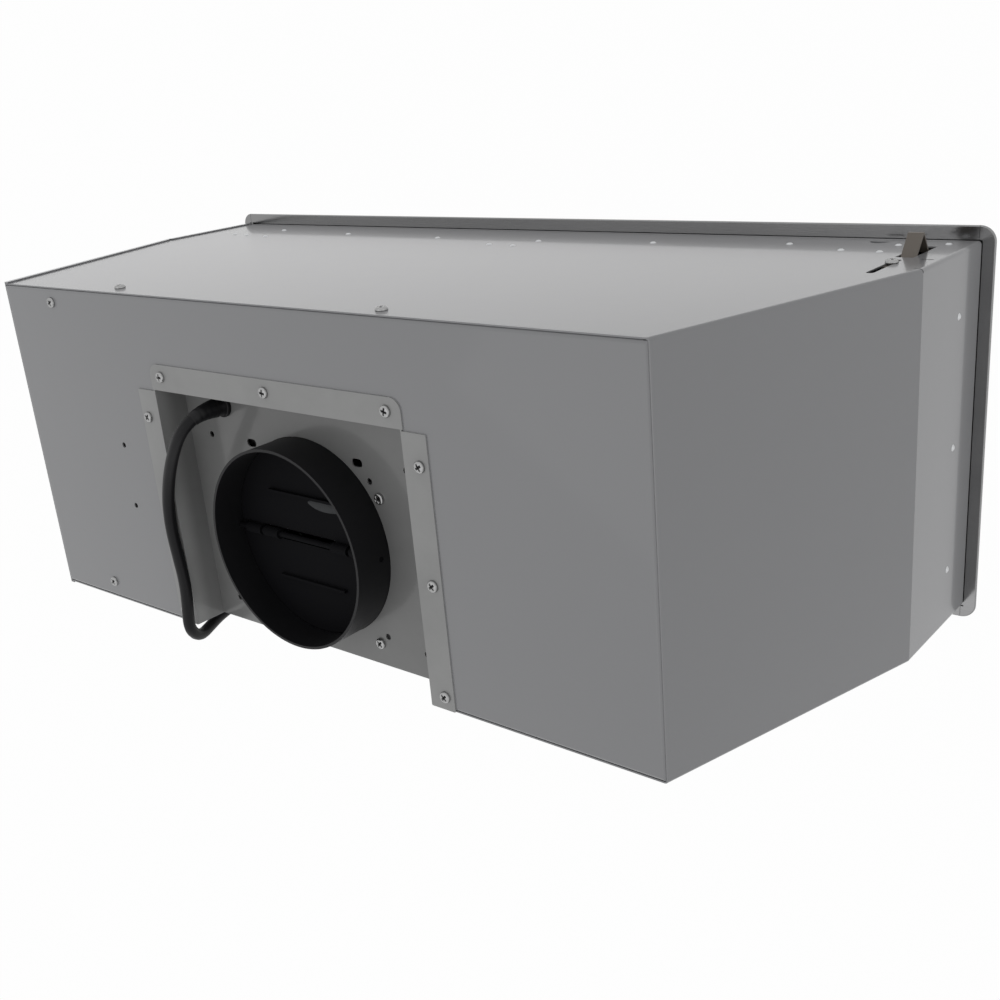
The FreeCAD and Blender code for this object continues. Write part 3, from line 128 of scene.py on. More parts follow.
def group_tree(name, inputs, outputs):
    """Empty shader node group with named float, colour or vector sockets."""
    tree = bpy.data.node_groups.new(name, "ShaderNodeTree")
    for label, kind, value in inputs:
        socket = tree.interface.new_socket(name=label, in_out="INPUT", socket_type=kind)
        socket.default_value = value
    for label, kind in outputs:
        tree.interface.new_socket(name=label, in_out="OUTPUT", socket_type=kind)
    return tree, tree.nodes.new("NodeGroupInput"), tree.nodes.new("NodeGroupOutput")


def math_node(tree, operation, first, second):
    """One Math node fed by sockets or plain numbers."""
    node = tree.nodes.new("ShaderNodeMath")
    node.operation = operation
    for slot, value in enumerate((first, second)):
        if isinstance(value, (int, float)):
            node.inputs[slot].default_value = value
        else:
            tree.links.new(value, node.inputs[slot])
    return node.outputs[0]


def noise(tree, vector, scale, detail=3.0):
    """Noise texture fed by a vector socket and a scale socket."""
    node = tree.nodes.new("ShaderNodeTexNoise")
    node.inputs["Detail"].default_value = detail
    node.inputs["Roughness"].default_value = 0.5
    tree.links.new(vector, node.inputs["Vector"])
    tree.links.new(scale, node.inputs["Scale"])
    return node.outputs["Fac"]


def build_mottle_group():
    """Slow and fast noise added together: a mask for handling marks and uneven gloss."""
    tree, given, out = group_tree("mottle", [("Vector", "NodeSocketVector", (0, 0, 0)),
                                             ("Broad Scale", "NodeSocketFloat", 6.0),
                                             ("Fine Scale", "NodeSocketFloat", 90.0),
                                             ("Amount", "NodeSocketFloat", 0.2)],
                                  [("Mask", "NodeSocketFloat")])
    broad = noise(tree, given.outputs["Vector"], given.outputs["Broad Scale"])
    fine = noise(tree, given.outputs["Vector"], given.outputs["Fine Scale"], 4.0)
    both = math_node(tree, "ADD", math_node(tree, "MULTIPLY", broad, 0.7), math_node(tree, "MULTIPLY", fine, 0.3))
    centred = math_node(tree, "SUBTRACT", both, 0.5)
    tree.links.new(math_node(tree, "MULTIPLY", centred, given.outputs["Amount"]), out.inputs["Mask"])
    return tree


def build_surface_group():
    """Varies a base colour and a roughness about their given values by a mottle mask."""
    tree, given, out = group_tree("uneven_finish", [("Vector", "NodeSocketVector", (0, 0, 0)),
                                                    ("Color", "NodeSocketColor", (0.5, 0.5, 0.5, 1)),
                                                    ("Roughness", "NodeSocketFloat", 0.4),
                                                    ("Broad Scale", "NodeSocketFloat", 6.0),
                                                    ("Fine Scale", "NodeSocketFloat", 90.0),
                                                    ("Color Change", "NodeSocketFloat", 0.1),
                                                    ("Gloss Change", "NodeSocketFloat", 0.2)],
                                  [("Color", "NodeSocketColor"), ("Roughness", "NodeSocketFloat")])
    masks = []
    for amount in ("Color Change", "Gloss Change"):
        mask = tree.nodes.new("ShaderNodeGroup")
        mask.node_tree = bpy.data.node_groups["mottle"]
        for label in ("Vector", "Broad Scale", "Fine Scale"):
            tree.links.new(given.outputs[label], mask.inputs[label])
        tree.links.new(given.outputs[amount], mask.inputs["Amount"])
        masks.append(mask.outputs["Mask"])
    shade = tree.nodes.new("ShaderNodeHueSaturation")
    tree.links.new(given.outputs["Color"], shade.inputs["Color"])
    tree.links.new(math_node(tree, "ADD", masks[0], 1.0), shade.inputs["Value"])
    tree.links.new(shade.outputs["Color"], out.inputs["Color"])
    tree.links.new(math_node(tree, "ADD", masks[1], given.outputs["Roughness"]), out.inputs["Roughness"])
    return tree


def build_bump_group():
    """Height of a fine pebble or peel, from one noise."""
    tree, given, out = group_tree("pebble", [("Vector", "NodeSocketVector", (0, 0, 0)),
                                             ("Scale", "NodeSocketFloat", 400.0)],
                                  [("Height", "NodeSocketFloat")])
    tree.links.new(noise(tree, given.outputs["Vector"], given.outputs["Scale"], 2.0), out.inputs["Height"])
    return tree


def build_height_group():
    """Painted shade: multiplies a colour by a factor below one height of the Object coordinates and leaves it above
    another.
    """
    tree, given, out = group_tree("height_tint", [("Vector", "NodeSocketVector", (0, 0, 0)),
                                                  ("Color", "NodeSocketColor", (0.5, 0.5, 0.5, 1)),
                                                  ("Low", "NodeSocketFloat", 0.0),
                                                  ("High", "NodeSocketFloat", 1.0),
                                                  ("Factor", "NodeSocketFloat", 0.8)],
                                  [("Color", "NodeSocketColor")])
    split = tree.nodes.new("ShaderNodeSeparateXYZ")
    tree.links.new(given.outputs["Vector"], split.inputs[0])
    ramp = tree.nodes.new("ShaderNodeMapRange")
    ramp.interpolation_type = "SMOOTHSTEP"
    tree.links.new(split.outputs["Z"], ramp.inputs["Value"])
    tree.links.new(given.outputs["Low"], ramp.inputs["From Min"])
    tree.links.new(given.outputs["High"], ramp.inputs["From Max"])
    tree.links.new(given.outputs["Factor"], ramp.inputs["To Min"])
    shade = tree.nodes.new("ShaderNodeHueSaturation")
    tree.links.new(given.outputs["Color"], shade.inputs["Color"])
    tree.links.new(ramp.outputs["Result"], shade.inputs["Value"])
    tree.links.new(shade.outputs["Color"], out.inputs["Color"])
    return tree


def paint_shade_low(material, low, high, factor):
    """Painted shade: darken a finish below a height, as a closed corner gets less light than this studio gives it."""
    tree = material.node_tree
    shader = tree.nodes["Principled BSDF"]
    plain = shader.inputs["Base Color"].links[0].from_socket
    painted_shade = tree.nodes.new("ShaderNodeGroup")
    painted_shade.node_tree = bpy.data.node_groups["height_tint"]
    tree.links.new(tree.nodes["Texture Coordinate"].outputs["Object"], painted_shade.inputs["Vector"])
    tree.links.new(plain, painted_shade.inputs["Color"])
    painted_shade.inputs["Low"].default_value = low
    painted_shade.inputs["High"].default_value = high
    painted_shade.inputs["Factor"].default_value = factor
    tree.links.new(painted_shade.outputs["Color"], shader.inputs["Base Color"])
    return material


def new_material(name, color, roughness, metallic=0.0, broad=6.0, fine=90.0, color_change=0.08, gloss_change=0.08,
                 pebble_scale=0.0, pebble_depth=0.0, stretch=None, coat=0.0, coat_roughness=0.08, specular=None):
    """Principled material whose colour, gloss and fine relief vary over Object coordinates."""
    material = bpy.data.materials.new(name)
    material.use_nodes = True
    tree = material.node_tree
    shader = tree.nodes["Principled BSDF"]
    coords = tree.nodes.new("ShaderNodeTexCoord").outputs["Object"]
    if stretch is not None:
        mapping = tree.nodes.new("ShaderNodeMapping")
        mapping.inputs["Scale"].default_value = stretch
        tree.links.new(coords, mapping.inputs["Vector"])
        coords = mapping.outputs[0]
    finish = tree.nodes.new("ShaderNodeGroup")
    finish.node_tree = bpy.data.node_groups["uneven_finish"]
    tree.links.new(coords, finish.inputs["Vector"])
    finish.inputs["Color"].default_value = (*color, 1)
    finish.inputs["Roughness"].default_value = roughness
    finish.inputs["Broad Scale"].default_value = broad
    finish.inputs["Fine Scale"].default_value = fine
    finish.inputs["Color Change"].default_value = color_change
    finish.inputs["Gloss Change"].default_value = gloss_change
    tree.links.new(finish.outputs["Color"], shader.inputs["Base Color"])
    tree.links.new(finish.outputs["Roughness"], shader.inputs["Roughness"])
    shader.inputs["Metallic"].default_value = metallic
    shader.inputs["Coat Weight"].default_value = coat
    shader.inputs["Coat Roughness"].default_value = coat_roughness
    if specular is not None:
        shader.inputs["Specular IOR Level"].default_value = specular
    if pebble_depth > 0:
        relief = tree.nodes.new("ShaderNodeGroup")
        relief.node_tree = bpy.data.node_groups["pebble"]
        tree.links.new(coords, relief.inputs["Vector"])
        relief.inputs["Scale"].default_value = pebble_scale
        bump = tree.nodes.new("ShaderNodeBump")
        bump.inputs["Distance"].default_value = pebble_depth
        bump.inputs["Strength"].default_value = 1.0
        tree.links.new(relief.outputs["Height"], bump.inputs["Height"])
        tree.links.new(bump.outputs["Normal"], shader.inputs["Normal"])
    return material


# The baffles' steel against the face's, and the pan's painted shade: full below, none above (metres), and its factor
SATIN_SHARE = 1.35
PAN_PAINTED_SHADE = (0.300, 0.313, 0.68)


def build_materials(finish):
    """All finishes, keyed by the record's material slots."""
    build_mottle_group()
    build_surface_group()
    build_bump_group()
    build_height_group()
    black = tuple(finish.black_color)
    satin = tuple(min(1, SATIN_SHARE * channel) for channel in finish.steel_color)
    return {
        "body_grey": new_material("grey_enamel", tuple(finish.enamel_color), finish.enamel_roughness, broad=2.2,
                                  fine=40.0, color_change=0.05, gloss_change=0.05, pebble_scale=900.0,
                                  pebble_depth=0.000004, coat=0.36, coat_roughness=0.07, specular=0.15),
        # painted shade: the recess pan's colour is darkened towards its floor
        "recess_pan": paint_shade_low(
            new_material("pan_enamel", tuple(finish.pan_color), 0.3, broad=13.0, fine=60.0, color_change=0.40,
                         gloss_change=0.08, pebble_scale=700.0, pebble_depth=0.000006, coat=0.35,
                         coat_roughness=0.10, specular=0.2), *PAN_PAINTED_SHADE),
        "stainless": new_material("stainless_sheet", tuple(finish.steel_color), 0.16, metallic=1.0, broad=3.0,
                                  fine=60.0, color_change=0.30, gloss_change=0.12, stretch=(1.0, 14.0, 14.0),
                                  pebble_scale=90.0, pebble_depth=0.00002),
        "satin_stainless": new_material("satin_baffle_steel", satin, 0.30, metallic=1.0, broad=4.0, fine=70.0,
                                        color_change=0.30, gloss_change=0.15, stretch=(14.0, 1.0, 14.0),
                                        pebble_scale=90.0, pebble_depth=0.00002),
        "zinc": new_material("zinc_sheet", tuple(finish.zinc_color), 0.36, metallic=1.0, broad=24.0, fine=120.0,
                             color_change=0.16, gloss_change=0.15),
        "screw_steel": screw_material(),
        "clip_steel": new_material("taupe_spring_steel", tuple(finish.spring_color), 0.42, metallic=0.2, broad=90.0,
                                   fine=500.0, color_change=0.15, gloss_change=0.12, pebble_scale=1800.0,
                                   pebble_depth=0.00002),
        "black_plastic": new_material("black_moulding", black, 0.5, broad=30.0, fine=300.0, color_change=0.3,
                                      gloss_change=0.12, pebble_scale=2600.0, pebble_depth=0.00003, specular=0.25),
        "matte_black": new_material("matte_black_moulding", black, 0.75, broad=30.0, fine=300.0, color_change=0.3,
                                    gloss_change=0.12, pebble_scale=2600.0, pebble_depth=0.00003, specular=0.05),
        "black_gloss": new_material("black_button", black, 0.2, broad=30.0, fine=300.0, color_change=0.2,
                                    gloss_change=0.08),
        # painted highlight: a light grey for the glint on the front damper flap
        "grey_felt": new_material("grey_felt", (0.075, 0.077, 0.08), 0.9, broad=120.0, fine=900.0, color_change=0.5,
                                  gloss_change=0.1, pebble_scale=1400.0, pebble_depth=0.0002, specular=0.1),
        "cord_black": new_material("black_cord", (0.004, 0.004, 0.005), 0.45, specular=0.2, broad=40.0, fine=400.0,
                                   color_change=0.3, gloss_change=0.12, pebble_scale=1500.0, pebble_depth=0.00003),
        "brass": new_material("brass_blades", (0.62, 0.46, 0.20), 0.25, metallic=1.0, broad=90.0, fine=500.0),
        "lens": lens_material(),
        "board_green": new_material("switch_circuit_board", (0.02, 0.13, 0.05), 0.4, broad=60.0, fine=400.0),
        "motor_black": new_material("motor_enamel", (0.02, 0.02, 0.022), 0.35, broad=30.0, fine=200.0,
                                    pebble_scale=1200.0, pebble_depth=0.00003),
        "cap_white": new_material("white_moulding", (0.72, 0.71, 0.67), 0.45, broad=40.0, fine=300.0,
                                  pebble_scale=1500.0, pebble_depth=0.00002),
    }


def screw_material():
    """Bright zinc-plated steel, with painted shade in the recess that the piece's own attribute marks."""
    material = new_material("bright_screw", (0.34, 0.34, 0.34), 0.24, metallic=1.0, broad=180.0, fine=900.0,
                            color_change=0.2, gloss_change=0.15, pebble_scale=2200.0, pebble_depth=0.00002)
    tree = material.node_tree
    shader = tree.nodes["Principled BSDF"]
    plain = shader.inputs["Base Color"].links[0].from_socket
    recess = tree.nodes.new("ShaderNodeAttribute")
    recess.attribute_name = "recess"
    shade = tree.nodes.new("ShaderNodeMix")
    shade.data_type = "RGBA"
    tree.links.new(recess.outputs["Fac"], shade.inputs["Factor"])
    tree.links.new(plain, shade.inputs["A"])
    # painted shade: the cross recess is mixed towards near black
    shade.inputs["B"].default_value = (0.02, 0.02, 0.02, 1)
    tree.links.new(shade.outputs["Result"], shader.inputs["Base Color"])
    return material


def lens_material():
    """Frosted lamp glass."""
    material = new_material("frosted_lens", (0.9, 0.91, 0.92), 0.35, broad=60.0, fine=400.0, color_change=0.03,
                            gloss_change=0.1, pebble_scale=2400.0, pebble_depth=0.00003)
    shader = material.node_tree.nodes["Principled BSDF"]
    shader.inputs["Transmission Weight"].default_value = 0.6
    shader.inputs["IOR"].default_value = 1.49
    return material


# ---------------------------------------------------------------- surfaces

def closed_turning(radii, heights, columns):
    """Surface of revolution (r cos a, r sin a, z) over a profile of (r, z) pairs and angle a; both ends are poles."""
    angle = np.linspace(0, 2 * np.pi, columns, endpoint=False)
    ring_r = np.asarray(radii, float)[:, None]
    ring_z = np.broadcast_to(np.asarray(heights, float)[1:-1, None], (len(heights) - 2, columns))
    rings = np.stack([ring_r[1:-1] * np.cos(angle), ring_r[1:-1] * np.sin(angle), ring_z], axis=-1)
    points = np.vstack([[[0, 0, heights[0]]], rings.reshape(-1, 3), [[0, 0, heights[-1]]]])
    return points, lathe_faces(len(heights) - 2, columns)


def lathe_faces(rows, columns):
    """Quads between neighbouring rings that wrap round, and a fan of triangles at each of the two poles."""
    row, column = np.meshgrid(np.arange(rows - 1), np.arange(columns), indexing="ij")
    here = 1 + row * columns + column
    right = 1 + row * columns + (column + 1) % columns
    quads = np.stack([here, right, right + columns, here + columns], axis=-1).reshape(-1, 4)
    fan = np.arange(columns)
    follow = (fan + 1) % columns
    first = np.stack([np.zeros_like(fan), 1 + follow, 1 + fan], axis=-1)
    base = 1 + (rows - 1) * columns
    last = np.stack([np.full_like(fan, 1 + rows * columns), base + fan, base + follow], axis=-1)
    return quads.tolist() + first.tolist() + last.tolist()


def smooth_step(edge0, edge1, value):
    """0 below edge0, 1 above edge1, and the cubic 3t^2 - 2t^3 of the share t between them."""
    share = np.clip((value - edge0) / (edge1 - edge0), 0, 1)
    return share * share * (3 - 2 * share)


def stood_on(points, seat, axis, turn=0.0):
    """Points turned about +Z by turn, stood along axis and moved to the seat."""
    spin = Matrix.Rotation(turn, 3, "Z")
    stand = Vector(axis).to_track_quat("Z", "Y").to_matrix()
    return points @ np.array(stand @ spin).T + np.asarray(seat, float)


def new_piece(name, parts, material, body, slot, *nodes):
    """One mesh from (points in mm, faces) parts, that rides on a body and stands for the given nodes."""
    points = []
    faces = []
    for part_points, part_faces in parts:
        first = sum(len(group) for group in points)
        faces += [[index + first for index in face] for face in part_faces]
        points.append(part_points)
    mesh = bpy.data.meshes.new(name)
    mesh.from_pydata((np.vstack(points) * MM).tolist(), [], faces)
    mesh.polygons.foreach_set("use_smooth", np.ones(len(mesh.polygons), bool))
    mesh.materials.append(bpy.data.materials[material])
    piece = bpy.data.objects.new(name, mesh)
    bpy.context.scene.collection.objects.link(piece)
    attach(piece, body)
    if nodes:
        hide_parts(*nodes)
    return piece


# ---------------------------------------------------------------- operators

# Nodes whose finish differs from the other nodes of their slot
FINISH_BY_NODE = {"recess_pan": "recess_pan", "damper_spindle": "matte_black", "damper_flap_front": "matte_black",
                  "damper_flap_rear": "matte_black", "filter_baffles_right": "satin_stainless",
                  "filter_baffles_left": "satin_stainless"}


class HOOD_OT_finishes(bpy.types.Operator):
    """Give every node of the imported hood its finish."""
    bl_idname = "hood.finishes"
    bl_label = "Finishes"

    def execute(self, context):
        materials = build_materials(context.scene.hood_finish)
        for part in frame["record"]["subparts"]:
            node = NODES[part["node"]]
            node.data.materials.clear()
            finish = FINISH_BY_NODE.get(part["node"], part["material_slot"])
            node.data.materials.append(materials[finish])
        return {"FINISHED"}


# Cord route: up from the gland, over the pan flange and the back edge, and down to the floor (millimetres)
CORD_ROUTE = [(81, -48, 299), (81, -48, 310), (84.4, -43.7, 319.5), (90.3, -36.2, 325), (98.5, -25.5, 326),
              (109.5, -10.5, 325), (120.5, 7, 323.2), (128.5, 27, 322.1), (131, 48.5, 322), (128.8, 70.5, 322),
              (125.9, 89.5, 322.4), (125, 105.5, 323.6), (125.4, 119.5, 325.2), (126.2, 131.1, 325.5),
              (128.2, 139.9, 320.4), (131.8, 145, 311.6), (137.6, 144.4, 299), (145, 142.8, 281), (150.5, 141.2, 252),
              (152, 140.6, 200), (149.5, 141, 140), (142, 143.5, 90), (134, 151.5, 52), (128.5, 165, 24.5),
              (127, 184, 9.5), (127, 208, 4.95)]
COIL_CENTRE = (67.0, 243.0)
COIL_TURNS = 2
COIL_OUTER = 60.0
COIL_EXIT_TURNS = 1.75
COIL_TAIL = 25.0
CLIMB_TURNS = 0.5
LAYER_GAP = 0.5
FLOOR_GAP = 0.3
POINTS_A_TURN = 16


def coil_points(pitch, layer, floor):
    """Spiral in, up one layer where it reverses, and out: radius falls then grows by one pitch a turn."""
    total = COIL_TURNS + CLIMB_TURNS + COIL_EXIT_TURNS
    turn = np.linspace(0, total, int(total * POINTS_A_TURN) + 1)
    reverse = COIL_TURNS + CLIMB_TURNS / 2
    radius = COIL_OUTER - pitch * np.minimum(turn, reverse) + pitch * np.maximum(turn - reverse, 0)
    climb = np.clip((turn - COIL_TURNS) / CLIMB_TURNS, 0, 1)
    height = floor + layer * climb ** 2 * (3 - 2 * climb)
    angle = 2 * np.pi * turn
    spread = 1 / np.sqrt(np.cos(np.pi / POINTS_A_TURN))
    return np.stack([COIL_CENTRE[0] + radius * spread * np.cos(angle),
                     COIL_CENTRE[1] + radius * spread * np.sin(angle), height], axis=1)


class HOOD_OT_cord(bpy.types.Operator):
    """Lay the mains cord as one smooth spline from the gland to the plug."""
    bl_idname = "hood.cord"
    bl_label = "Mains cord"

    def execute(self, context):
        settings = context.scene.hood_cord
        radius_mm = settings.diameter / 2 / MM
        floor = radius_mm + FLOOR_GAP
        coil = coil_points(settings.coil_pitch / MM, 2 * radius_mm + LAYER_GAP, floor)
        tail = coil[-1] + np.array([-COIL_TAIL, 0.0, 0.0])
        points = np.vstack([np.array(CORD_ROUTE, float), coil, tail[None]]) * MM
        curve = bpy.data.curves.new("mains_cord", "CURVE")
        curve.dimensions = "3D"
        curve.bevel_depth = settings.diameter / 2
        curve.bevel_resolution = 6
        curve.resolution_u = 8
        curve.use_fill_caps = True
        spline = curve.splines.new("NURBS")
        spline.points.add(len(points) - 1)
        spline.points.foreach_set("co", np.hstack([points, np.ones((len(points), 1))]).ravel())
        spline.order_u = 3
        spline.use_endpoint_u = True
        cord = bpy.data.objects.new("mains_cord", curve)
        context.scene.collection.objects.link(cord)
        curve.materials.append(bpy.data.materials["black_cord"])
        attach(cord, "hood")
        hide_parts("cord", "cord_coil")
        return {"FINISHED"}


def spline_points(curve_object):
    """Points along the curve's own line, read from a copy of its spline that has no bevel."""
    bare = curve_object.data.copy()
    bare.bevel_depth = 0.0
    twin = bpy.data.objects.new("line_only", bare)
    line = bpy.data.meshes.new_from_object(twin)
    points = np.zeros(len(line.vertices) * 3)
    line.vertices.foreach_get("co", points)
    bpy.data.meshes.remove(line)
    bpy.data.objects.remove(twin)
    bpy.data.curves.remove(bare)
    return points.reshape(-1, 3)


def tube_along(line, radii, columns):
    """Tube of changing radius: at each point of the line a ring in the plane across it; both ends are closed."""
    tangent = np.gradient(line, axis=0)
    tangent /= np.linalg.norm(tangent, axis=1)[:, None]
    side = np.cross(tangent, (1.0, 0.0, 0.0))
    side /= np.linalg.norm(side, axis=1)[:, None]
    other = np.cross(tangent, side)
    angle = np.linspace(0, 2 * np.pi, columns, endpoint=False)
    around = side[:, None] * np.cos(angle)[:, None] + other[:, None] * np.sin(angle)[:, None]
    rings = line[:, None] + around * np.asarray(radii, float)[:, None, None]
    points = np.vstack([line[:1], rings.reshape(-1, 3), line[-1:]])
    return points, lathe_faces(len(line), columns)


RELIEF_LENGTH = 20.0
RELIEF_ROOT = 7.2
RELIEF_TIP = 5.1
RELIEF_RIBS = 5
GROOVE_DEPTH = 0.12


class HOOD_OT_relief(bpy.types.Operator):
    """Ribbed, tapered rubber sleeve where the cord leaves the gland."""
    bl_idname = "hood.relief"
    bl_label = "Cord sleeve"

    def execute(self, context):
        line = spline_points(bpy.data.objects["mains_cord"]) / MM
        run = np.concatenate([[0.0], np.cumsum(np.linalg.norm(np.diff(line, axis=0), axis=1))])
        at = np.linspace(0, RELIEF_LENGTH, 61)
        centre = np.stack([np.interp(at, run, line[:, k]) for k in range(3)], axis=1)
        share = at / RELIEF_LENGTH
        taper = RELIEF_ROOT + (RELIEF_TIP - RELIEF_ROOT) * share
        groove = GROOVE_DEPTH * (1 - smooth_step(0.1, 0.35, np.abs((share * RELIEF_RIBS) % 1 - 0.5)))
        groove[(share < 0.1) | (share > 0.95)] = 0
        new_piece("cord_sleeve", [tube_along(centre, taper - groove, 40)], "black_moulding", "hood", "black_plastic")
        return {"FINISHED"}


# Leaf of the grey patch that stands in for the glint on the front flap, a painted highlight (millimetres)
PAD_TIP = (-5.0, 12.6)
PAD_END = (-46.0, 14.8)
PAD_HALF_WIDTH = 4.4
PAD_THICKNESS = 1.1
PAD_EDGE = 0.1
PAD_SINK = 0.05
PAD_TAPER = 1.5
FLAP_THICKNESS = 1.6


class HOOD_OT_glint_pad(bpy.types.Operator):
    """Leaf-shaped grey pad on the front damper flap: a painted highlight for the glint along the flap."""
    bl_idname = "hood.pad"
    bl_label = "Flap pad"

    def execute(self, context):
        """Half width is w sin(pi t^0.7) along the leaf, the top is a dome 1 - v^2 across it, the underside flat."""
        flap = NODES["damper_flap_front"]
        co = np.zeros(len(flap.data.vertices) * 3)
        flap.data.vertices.foreach_get("co", co)
        height = co.reshape(-1, 3)[:, 2] / MM
        plate_top = height.min() + FLAP_THICKNESS
        rows, columns = 41, 17
        share, across = np.meshgrid(np.linspace(0, 1, rows), np.linspace(-1, 1, columns), indexing="ij")
        tip, end = np.array(PAD_TIP), np.array(PAD_END)
        along = (end - tip) / np.linalg.norm(end - tip)
        half = PAD_HALF_WIDTH * np.sin(np.pi * share ** 0.7)
        sideways = np.array([-along[1], along[0]])
        flat = tip + share[..., None] * (end - tip) + (across * half)[..., None] * sideways
        dome = plate_top + PAD_EDGE + PAD_THICKNESS * (1 - across ** 2) * np.minimum(1, half / PAD_TAPER)
        top = np.dstack([flat, dome]).reshape(-1, 3)
        low = np.dstack([flat, np.full_like(dome, plate_top - PAD_SINK)]).reshape(-1, 3)
        row, column = np.meshgrid(np.arange(rows - 1), np.arange(columns - 1), indexing="ij")
        first = row * columns + column
        quads = np.stack([first, first + columns, first + columns + 1, first + 1], axis=-1).reshape(-1, 4)
        edge = np.concatenate([np.arange(columns), np.arange(1, rows) * columns + columns - 1,
                               (rows - 1) * columns + np.arange(columns - 2, -1, -1),
                               np.arange(rows - 2, 0, -1) * columns])
        follow = np.roll(edge, -1)
        offset = rows * columns
        wall = np.stack([edge, follow, follow + offset, edge + offset], axis=-1)
        faces = quads.tolist() + (quads[:, ::-1] + offset).tolist() + wall.tolist()
        new_piece("flap_pad", [(np.vstack([top, low]), faces)], "grey_felt", NODE_BODY["damper_flap_front"],
                  "black_plastic")
        return {"FINISHED"}


# Fastener seats (millimetres) and the way each head points
HEAD_RADIUS = 4.2
HEAD_HEIGHT = 2.4
RIM_HEIGHT = 0.35
SLOT_REACH = (2.2, 2.9)
SLOT_HALF_WIDTH = (0.5, 0.85)
SLOT_DEPTH = 1.5
UP = (0, 0, 1)
FRONT = (0, -1, 0)
BACK = (0, 1, 0)
SCREWS = {
    "pan_screws": [((x, y, 317), UP) for x in (-139.5, 139.5) for y in (-39.4, 41.6, 122.5)]
                  + [((x, -72.7, 317), UP) for x in (-115.3, 0.0, 115.3)],
    "top_screws": [((244, -121, 316), UP), ((237, 118, 316), UP)],
    "collar_screws": [((-73, 1, 291), UP), ((73, 1, 291), UP), ((-56, 115, 291), UP), ((56, 115, 291), UP)],
    "wall_screws": [((170.5, -133, 300.5), FRONT), ((-108.5, -133, 303.5), FRONT),
                    ((170, 133, 304), BACK), ((-170, 133, 304), BACK)],
    "clip_screw_front": [((-346, -133.1, 90.5), FRONT)],
    "clip_screw_back": [((-346, 133.1, 90.5), BACK)],
}


def pan_head():
    """Pan head with a cross recess.

    Its height is h (1 - (r/R)^7)^(1/2), less a depth where |x| or |y| is under the slot's half width.
    """
    rings = np.concatenate([np.linspace(0, 0.72, 15), np.linspace(0.75, 1.0, 9)])
    columns = 56
    height = HEAD_HEIGHT * np.sqrt(np.clip(1 - rings ** 7, 0, 1))
    height = RIM_HEIGHT + height * (HEAD_HEIGHT - RIM_HEIGHT) / HEAD_HEIGHT
    radii = np.concatenate([rings, [1.0, 0.0]]) * HEAD_RADIUS
    heights = np.concatenate([height, [0.0, 0.0]])
    points, faces = closed_turning(radii[::-1], heights[::-1], columns)
    x, y = np.abs(points[:, 0]), np.abs(points[:, 1])
    along = 1 - smooth_step(*SLOT_REACH, np.maximum(x, y))
    across = 1 - smooth_step(*SLOT_HALF_WIDTH, np.minimum(x, y))
    recess = (points[:, 2] > HEAD_HEIGHT * 0.5) * along * across
    points[:, 2] -= SLOT_DEPTH * recess
    return points, faces, recess


class HOOD_OT_screws(bpy.types.Operator):
    """Pan-head screws with cross recesses, each at its seat."""
    bl_idname = "hood.screws"
    bl_label = "Screws"

    def execute(self, context):
        points, faces, recess = pan_head()
        for node, seats in SCREWS.items():
            parts = [(stood_on(points, seat, axis, 0.55 + 1.7 * order), faces)
                     for order, (seat, axis) in enumerate(seats)]
            piece = new_piece(node + "_heads", parts, "bright_screw", NODE_BODY[node], "screw_steel", node)
            # the recess mask also marks where the screw material paints shade into the cross recess
            mark = piece.data.attributes.new("recess", "FLOAT", "POINT")
            mark.data.foreach_set("value", np.tile(recess, len(seats)).astype(np.float32))
        return {"FINISHED"}


# ---------------------------------------------------------------- studio

CAMERA_PLACE = Vector((-0.6419, -0.2727, 0.8312))
CAMERA_RIGHT = Vector((-0.7793, 0.0819, -0.6213))
CAMERA_UP = Vector((0.1566, -0.9345, -0.3195))
CAMERA_BACK = Vector((-0.6068, -0.3463, 0.7155))
FOCAL_SHARE = 1.21525
CENTRE_RIGHT = 0.00529
CENTRE_DOWN = 0.00723
SENSOR_WIDTH = 36.0
FLOOR_HALF = 6.0
FLOOR_HEIGHT = -0.0005
WHITE_SHARE = 0.98
LAMP_TARGET = (0, 0, 0.15)
# Name, place and size in metres, and the setting of its power
LAMPS = (("key_lamp", (-0.3, -2.2, 0.9), 1.8, "key_power"), ("fill_lamp", (0.2, 0.3, 2.4), 2.0, "fill_power"),
         ("side_lamp", (-2.2, 0.2, 0.7), 1.6, "side_power"), ("back_lamp", (0.4, 2.4, 0.8), 1.8, "back_power"))


def soft_lamp(name, place, target, size, power):
    """Large square lamp that faces the target."""
    data = bpy.data.lights.new(name, "AREA")
    data.shape = "SQUARE"
    data.size = size
    data.energy = power
    lamp = bpy.data.objects.new(name, data)
    lamp.location = place
    lamp.rotation_mode = "QUATERNION"
    lamp.rotation_quaternion = (Vector(place) - Vector(target)).to_track_quat("Z", "Y")
    bpy.context.scene.collection.objects.link(lamp)


def background_rays(tree):
    """1 for a ray that shows the background: from the camera, off a glossy surface or through glass."""
    path = tree.nodes.new("ShaderNodeLightPath")
    straight = math_node(tree, "MAXIMUM", path.outputs["Is Camera Ray"], path.outputs["Is Transmission Ray"])
    return math_node(tree, "MAXIMUM", straight, path.outputs["Is Glossy Ray"])


def pale_stage_material():
    """White to the camera and to reflections, with a trace of the object's shadow kept."""
    material = bpy.data.materials.new("pale_floor")
    material.use_nodes = True
    tree = material.node_tree
    tree.nodes.clear()
    out = tree.nodes.new("ShaderNodeOutputMaterial")
    diffuse = tree.nodes.new("ShaderNodeBsdfDiffuse")
    diffuse.inputs["Color"].default_value = (0.8, 0.8, 0.8, 1)
    glow = tree.nodes.new("ShaderNodeEmission")
    glow.inputs["Strength"].default_value = 1.0
    share = math_node(tree, "MULTIPLY", background_rays(tree), WHITE_SHARE)
    mix = tree.nodes.new("ShaderNodeMixShader")
    tree.links.new(share, mix.inputs["Fac"])
    tree.links.new(diffuse.outputs[0], mix.inputs[1])
    tree.links.new(glow.outputs[0], mix.inputs[2])
    tree.links.new(mix.outputs[0], out.inputs["Surface"])
    return material


